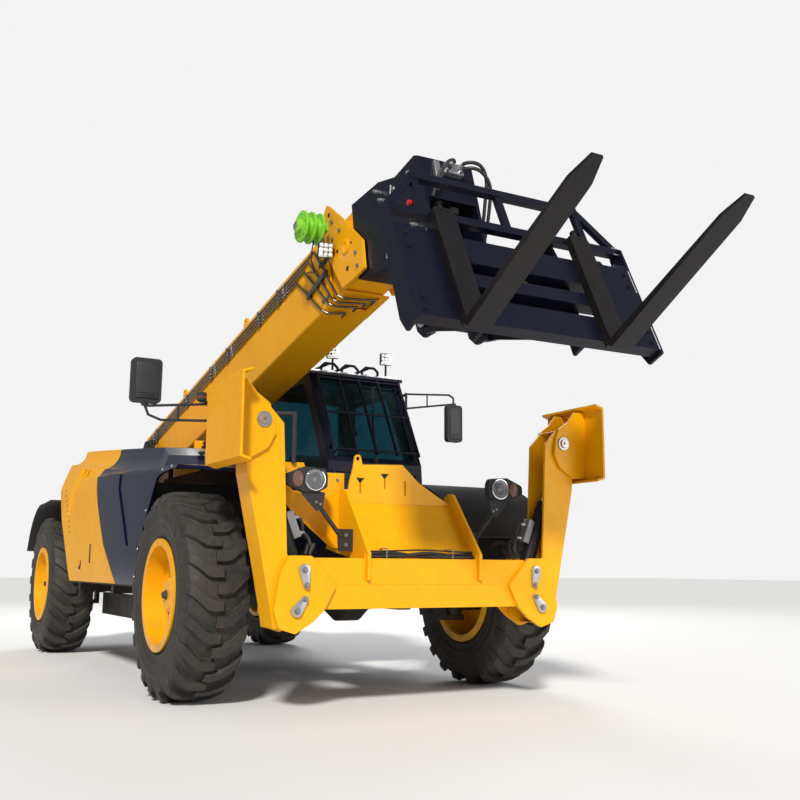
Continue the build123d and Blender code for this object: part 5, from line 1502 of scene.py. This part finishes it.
@dataclass
class CabTrim:
    """Roof lamps, wiper and controls of the cab.

    Attributes:
        roof_lamps: Rows of (across, back, up) of the lamps' middles.
        roof: Height of the roof's top.
    """

    roof_lamps: tuple[Point, ...] = ((1.000, 1.330, 2.540), (0.500, 1.330, 2.545))
    roof: float = 2.398

    def screen(self, across: float, up: float, off: float) -> Vector:
        """A place over the windscreen.

        Args:
            across: Metres to the left.
            up: Height of its foot on the glass.
            off: Metres off the glass.

        Returns:
            The point in the frame.
        """
        slope = (SCREEN_TOP[0] - SCREEN_SILL[0]) / (SCREEN_TOP[1] - SCREEN_SILL[1])
        back = SCREEN_SILL[0] + (up - SCREEN_SILL[1]) * slope
        tilt = math.atan(slope)
        return place(across, back - off * math.cos(tilt), up + off * math.sin(tilt))

    def build(self) -> None:
        """Add the cab's details."""
        face = Vector((-0.15, -0.98, -0.10)).normalized()
        for index, (across, back, up) in enumerate(self.roof_lamps):
            square_lamp(f"roof_lamp_{index}", place(across, back, up), face, "chassis")
            foot = Shape()
            foot.rod(place(across, back, self.roof), place(across, back, up - 0.050), 0.009, sides=12)
            foot.done(f"roof_lamp_foot_{index}", BLACK, "chassis")
        self.wiper()
        self.controls()

    def wiper(self) -> None:
        """The windscreen's wiper: motor cap, arm and blade."""
        shape = Shape()
        pivot = self.screen(0.700, 1.622, 0.004)
        tip = self.screen(0.800, 2.080, 0.016)
        out = (self.screen(0.7, 1.622, 0.1) - self.screen(0.7, 1.622, 0.0)).normalized()
        shape.lathe(((-0.004, 0.0), (-0.004, 0.026), (0.014, 0.022), (0.020, 0.010), (0.020, 0.0)),
                    pivot, out, 28)
        shape.rod(pivot + out * 0.014, tip, 0.006, 0.004, 10)
        low, high = self.screen(0.745, 1.850, 0.004), self.screen(0.855, 2.270, 0.004)
        shape.rod(low, high, 0.007, sides=8)
        shape.rod(low + out * 0.008, high + out * 0.008, 0.004, sides=8)
        shape.done("wiper", BLACK_PLASTIC, "chassis")

    def controls(self) -> None:
        """Lever, boot, armrest and the cowl's screen in the cab."""
        shape = Shape()
        base = place(0.480, 1.700, 1.060)
        shape.block((0.330, 0.090, 0.300), upright(place(0.480, 1.860, 0.930), AHEAD), 0.020)
        shape.lathe(((0.0, 0.0), (0.0, 0.040), (0.014, 0.034), (0.022, 0.030), (0.036, 0.020), (0.050, 0.014),
                     (0.050, 0.0)), base + UP * 0.018, UP, 28)
        shape.rod(base + UP * 0.060, base + UP * 0.170, 0.008, sides=12)
        shape.lathe(((0.0, 0.0), (0.002, 0.018), (0.050, 0.026), (0.085, 0.022), (0.098, 0.010),
                     (0.100, 0.0)), base + UP * 0.165, UP, 24)
        shape.block((0.030, 0.190, 0.120), upright(place(0.640, 1.085, 1.440), Vector((0, 1, 0.25))), 0.010)
        shape.done("cab_controls", BLACK_PLASTIC, "chassis")


@dataclass
class Seat:
    """The driver's seat: pedestal, suspension bellows, padded cushion and backrest.

    Attributes:
        across: Middle of the seat, to the machine's left.
        back: Middle of the pedestal, behind the front axle.
        recline: Degrees that the backrest leans back.
    """

    across: float = 0.710
    back: float = 1.870
    recline: float = 9

    def build(self) -> None:
        """Add the seat's pieces."""
        base = Shape()
        base.block((0.300, 0.300, 0.060), Matrix.Translation(place(self.across, self.back, 0.811)), 0.010)
        for index in range(6):
            inset = 0.010 if index % 2 else 0.0
            base.block((0.270 - inset, 0.270 - inset, 0.032),
                       Matrix.Translation(place(self.across, self.back, 0.858 + index * 0.034)), 0.012)
        tray = place(self.across, self.back + 0.010, 1.085)
        base.block((0.380, 0.360, 0.050), Matrix.Translation(tray), 0.010)
        base.done("seat_pedestal", BLACK_PLASTIC, "chassis", replaced=("seat",))
        cushion = self.pad("seat_cushion", Vector((0.440, 0.440, 0.105)), 3, 0.018)
        self.settle(cushion, Matrix.Translation(place(self.across, self.back + 0.015, 1.168)))
        lean = Matrix.Rotation(math.radians(-self.recline), 4, "X")
        backrest = self.pad("seat_backrest", Vector((0.430, 0.095, 0.540)), 3, 0.014)
        self.settle(backrest, Matrix.Translation(place(self.across, 2.148, 1.505)) @ lean)

    @staticmethod
    def pad(name: str, size: Vector, channels: int, crown: float) -> bpy.types.Object:
        """A crowned, channelled pad with drawn-in sides.

        Args:
            name: Name of the piece.
            size: Its three lengths.
            channels: Sewn panels across it.
            crown: How far its middle stands proud.

        Returns:
            The object.
        """
        mesh = bmesh.new()
        bmesh.ops.create_cube(mesh, size=1.0)
        bmesh.ops.subdivide_edges(mesh, edges=mesh.edges[:], cuts=23, use_grid_fill=True)
        thin = min(range(3), key=lambda axis: size[axis])
        flat = [axis for axis in range(3) if axis != thin]
        for vert in mesh.verts:
            spot = vert.co * 2
            reach = [abs(value) for value in spot]
            dome = (1 - reach[flat[0]] ** 4) * (1 - reach[flat[1]] ** 4)
            seam = abs(math.sin(math.pi * (spot.x + 1) * channels / 2))
            groove = 0.35 + 0.65 * min(1.0, seam * 2.2)
            rounded = spot.copy()
            for axis in range(3):
                others = [reach[index] for index in range(3) if index != axis]
                rounded[axis] *= 1 - 0.055 * (others[0] ** 6 + others[1] ** 6)
            vert.co = Vector((rounded[axis] * size[axis] / 2 for axis in range(3)))
            sign = 1 if spot[thin] > 0 else -1
            vert.co[thin] += sign * crown * dome * groove * (reach[thin] > 0.9)
            vert.co[thin] -= sign * 0.010 * (1 - groove) * dome
        bmesh.ops.smooth_vert(mesh, verts=mesh.verts, factor=0.5, use_axis_x=True, use_axis_y=True,
                              use_axis_z=True)
        bmesh.ops.recalc_face_normals(mesh, faces=mesh.faces)
        data = bpy.data.meshes.new(name)
        mesh.to_mesh(data)
        mesh.free()
        data.shade_smooth()
        data.materials.append(SEAT_CLOTH.material())
        piece = bpy.data.objects.new(name, data)
        bpy.context.scene.collection.objects.link(piece)
        return piece

    @staticmethod
    def settle(piece: bpy.types.Object, spot: Matrix) -> None:
        """Args:
            piece: The pad.
            spot: Its place.
        """
        piece.data.transform(spot)
        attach(piece, "chassis")
        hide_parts("seat")
        LOG.info("%s on chassis", piece.name)


# ------------------------------------------------------------------ studio
@dataclass
class Studio:
    """Camera, floor and lights.

    Attributes:
        eye: Camera's place: across, back from the front axle, up.
        yaw: Turn of the view from straight back towards the left.
        pitch: How far the view looks up.
        roll: Tilt of the picture.
        lens: Focal length on a 36 mm sensor.
        sky: Strength of the sky's light.
        key: Strength of the key light.
    """

    eye: Point = (-2.945, -5.956, 0.791)
    yaw: float = 0.5113
    pitch: float = 0.1674
    roll: float = 0.0066
    lens: float = 44.586
    sky: float = 0.30
    key: float = 3.5

    def build(self) -> None:
        """Set up the whole studio."""
        self.camera()
        self.floor()
        self.lights()

    def camera(self) -> None:
        """Place the camera and make it the scene's own."""
        forward = Vector((math.sin(self.yaw) * math.cos(self.pitch),
                          math.cos(self.yaw) * math.cos(self.pitch), math.sin(self.pitch)))
        level_right = Vector((math.cos(self.yaw), -math.sin(self.yaw), 0.0))
        level_up = level_right.cross(forward)
        right = level_right * math.cos(self.roll) + level_up * math.sin(self.roll)
        up = right.cross(forward)
        turn = Matrix((right, up, -forward)).transposed().to_4x4()
        data = bpy.data.cameras.new("studio_camera")
        data.lens = self.lens
        data.sensor_width = 36.0
        data.clip_end = 200.0
        camera = bpy.data.objects.new("studio_camera", data)
        camera.matrix_world = Matrix.Translation(place(*self.eye)) @ turn
        bpy.context.scene.collection.objects.link(camera)
        bpy.context.scene.camera = camera

    def floor(self) -> None:
        """Lay a wide pale floor."""
        mesh = bmesh.new()
        bmesh.ops.create_grid(mesh, x_segments=1, y_segments=1, size=60.0)
        graph = Graph("floor_pale")
        shader = graph.add("ShaderNodeBsdfPrincipled")
        graph.link(graph.mix(graph.noise(0.8), (0.87, 0.87, 0.87), (0.90, 0.90, 0.90)),
                   shader.inputs["Base Color"])
        shader.inputs["Roughness"].default_value = 0.7
        graph.link(shader.outputs["BSDF"], graph.output.inputs["Surface"])
        data = bpy.data.meshes.new("floor")
        mesh.to_mesh(data)
        mesh.free()
        data.materials.append(graph.material)
        floor = bpy.data.objects.new("floor", data)
        bpy.context.scene.collection.objects.link(floor)

    def lights(self) -> None:
        """A dim soft sky behind a pale backdrop, a high key from the front right, and two weak fills."""
        world = bpy.data.worlds.new("studio_sky")
        world.use_nodes = True
        tree = world.node_tree
        sky = tree.nodes["Background"]
        sky.inputs["Color"].default_value = (0.92, 0.96, 1.0, 1.0)
        sky.inputs["Strength"].default_value = self.sky
        backdrop = tree.nodes.new("ShaderNodeBackground")
        backdrop.inputs["Color"].default_value = (1.0, 1.0, 1.0, 1.0)
        backdrop.inputs["Strength"].default_value = 0.90
        seen = tree.nodes.new("ShaderNodeLightPath")
        mixed = tree.nodes.new("ShaderNodeMixShader")
        tree.links.new(seen.outputs["Is Camera Ray"], mixed.inputs["Fac"])
        tree.links.new(sky.outputs["Background"], mixed.inputs[1])
        tree.links.new(backdrop.outputs["Background"], mixed.inputs[2])
        tree.links.new(mixed.outputs["Shader"], tree.nodes["World Output"].inputs["Surface"])
        bpy.context.scene.world = world
        bpy.context.scene.view_settings.view_transform = "Standard"
        target = place(0.0, 1.0, 1.4)
        key = bpy.data.lights.new("key", "SUN")
        key.energy = self.key
        key.angle = math.radians(7)
        key.color = (1.0, 0.965, 0.91)
        self.hang(key, (-5.0, -7.0, 8.0), target)
        for name, spot, power, size in (("fill", (7.0, -8.0, 4.0), 260.0, 6.0),
                                        ("back", (5.0, 11.0, 8.0), 500.0, 5.0)):
            fill = bpy.data.lights.new(name, "AREA")
            fill.energy = power
            fill.size = size
            self.hang(fill, spot, target)

    @staticmethod
    def hang(light: bpy.types.Light, spot: Point, target: Vector) -> None:
        """Hang a light at a place and point it.

        Args:
            light: The light.
            spot: Its place: across, back from the front axle, up.
            target: What it points at.
        """
        lamp = bpy.data.objects.new(light.name, light)
        lamp.location = place(*spot)
        lamp.rotation_euler = (target - lamp.location).to_track_quat("-Z", "Y").to_euler()
        bpy.context.scene.collection.objects.link(lamp)


def main() -> None:
    """Build every piece in order."""
    logging.basicConfig(level=logging.INFO, format="%(name)s: %(message)s")
    Studio().build()
    dress_frame()
    LOG.info("frame dressed")
    for end, hand, _, spot in wheels():
        Tyre(end, hand, spot).build()
    for end, hand, sign, spot in wheels():
        WheelTrim(end, hand, LEFTWARDS * sign, spot).build()
    for hand, sign in HANDS:
        LegTrim(hand, sign).build()
    FrontTrim().build()
    CoverTrim().build()
    BoomTrim().build()
    HeadTrim().build()
    MirrorTrim().build()
    CabTrim().build()
    Seat().build()


if __name__ == "__main__":
    main()
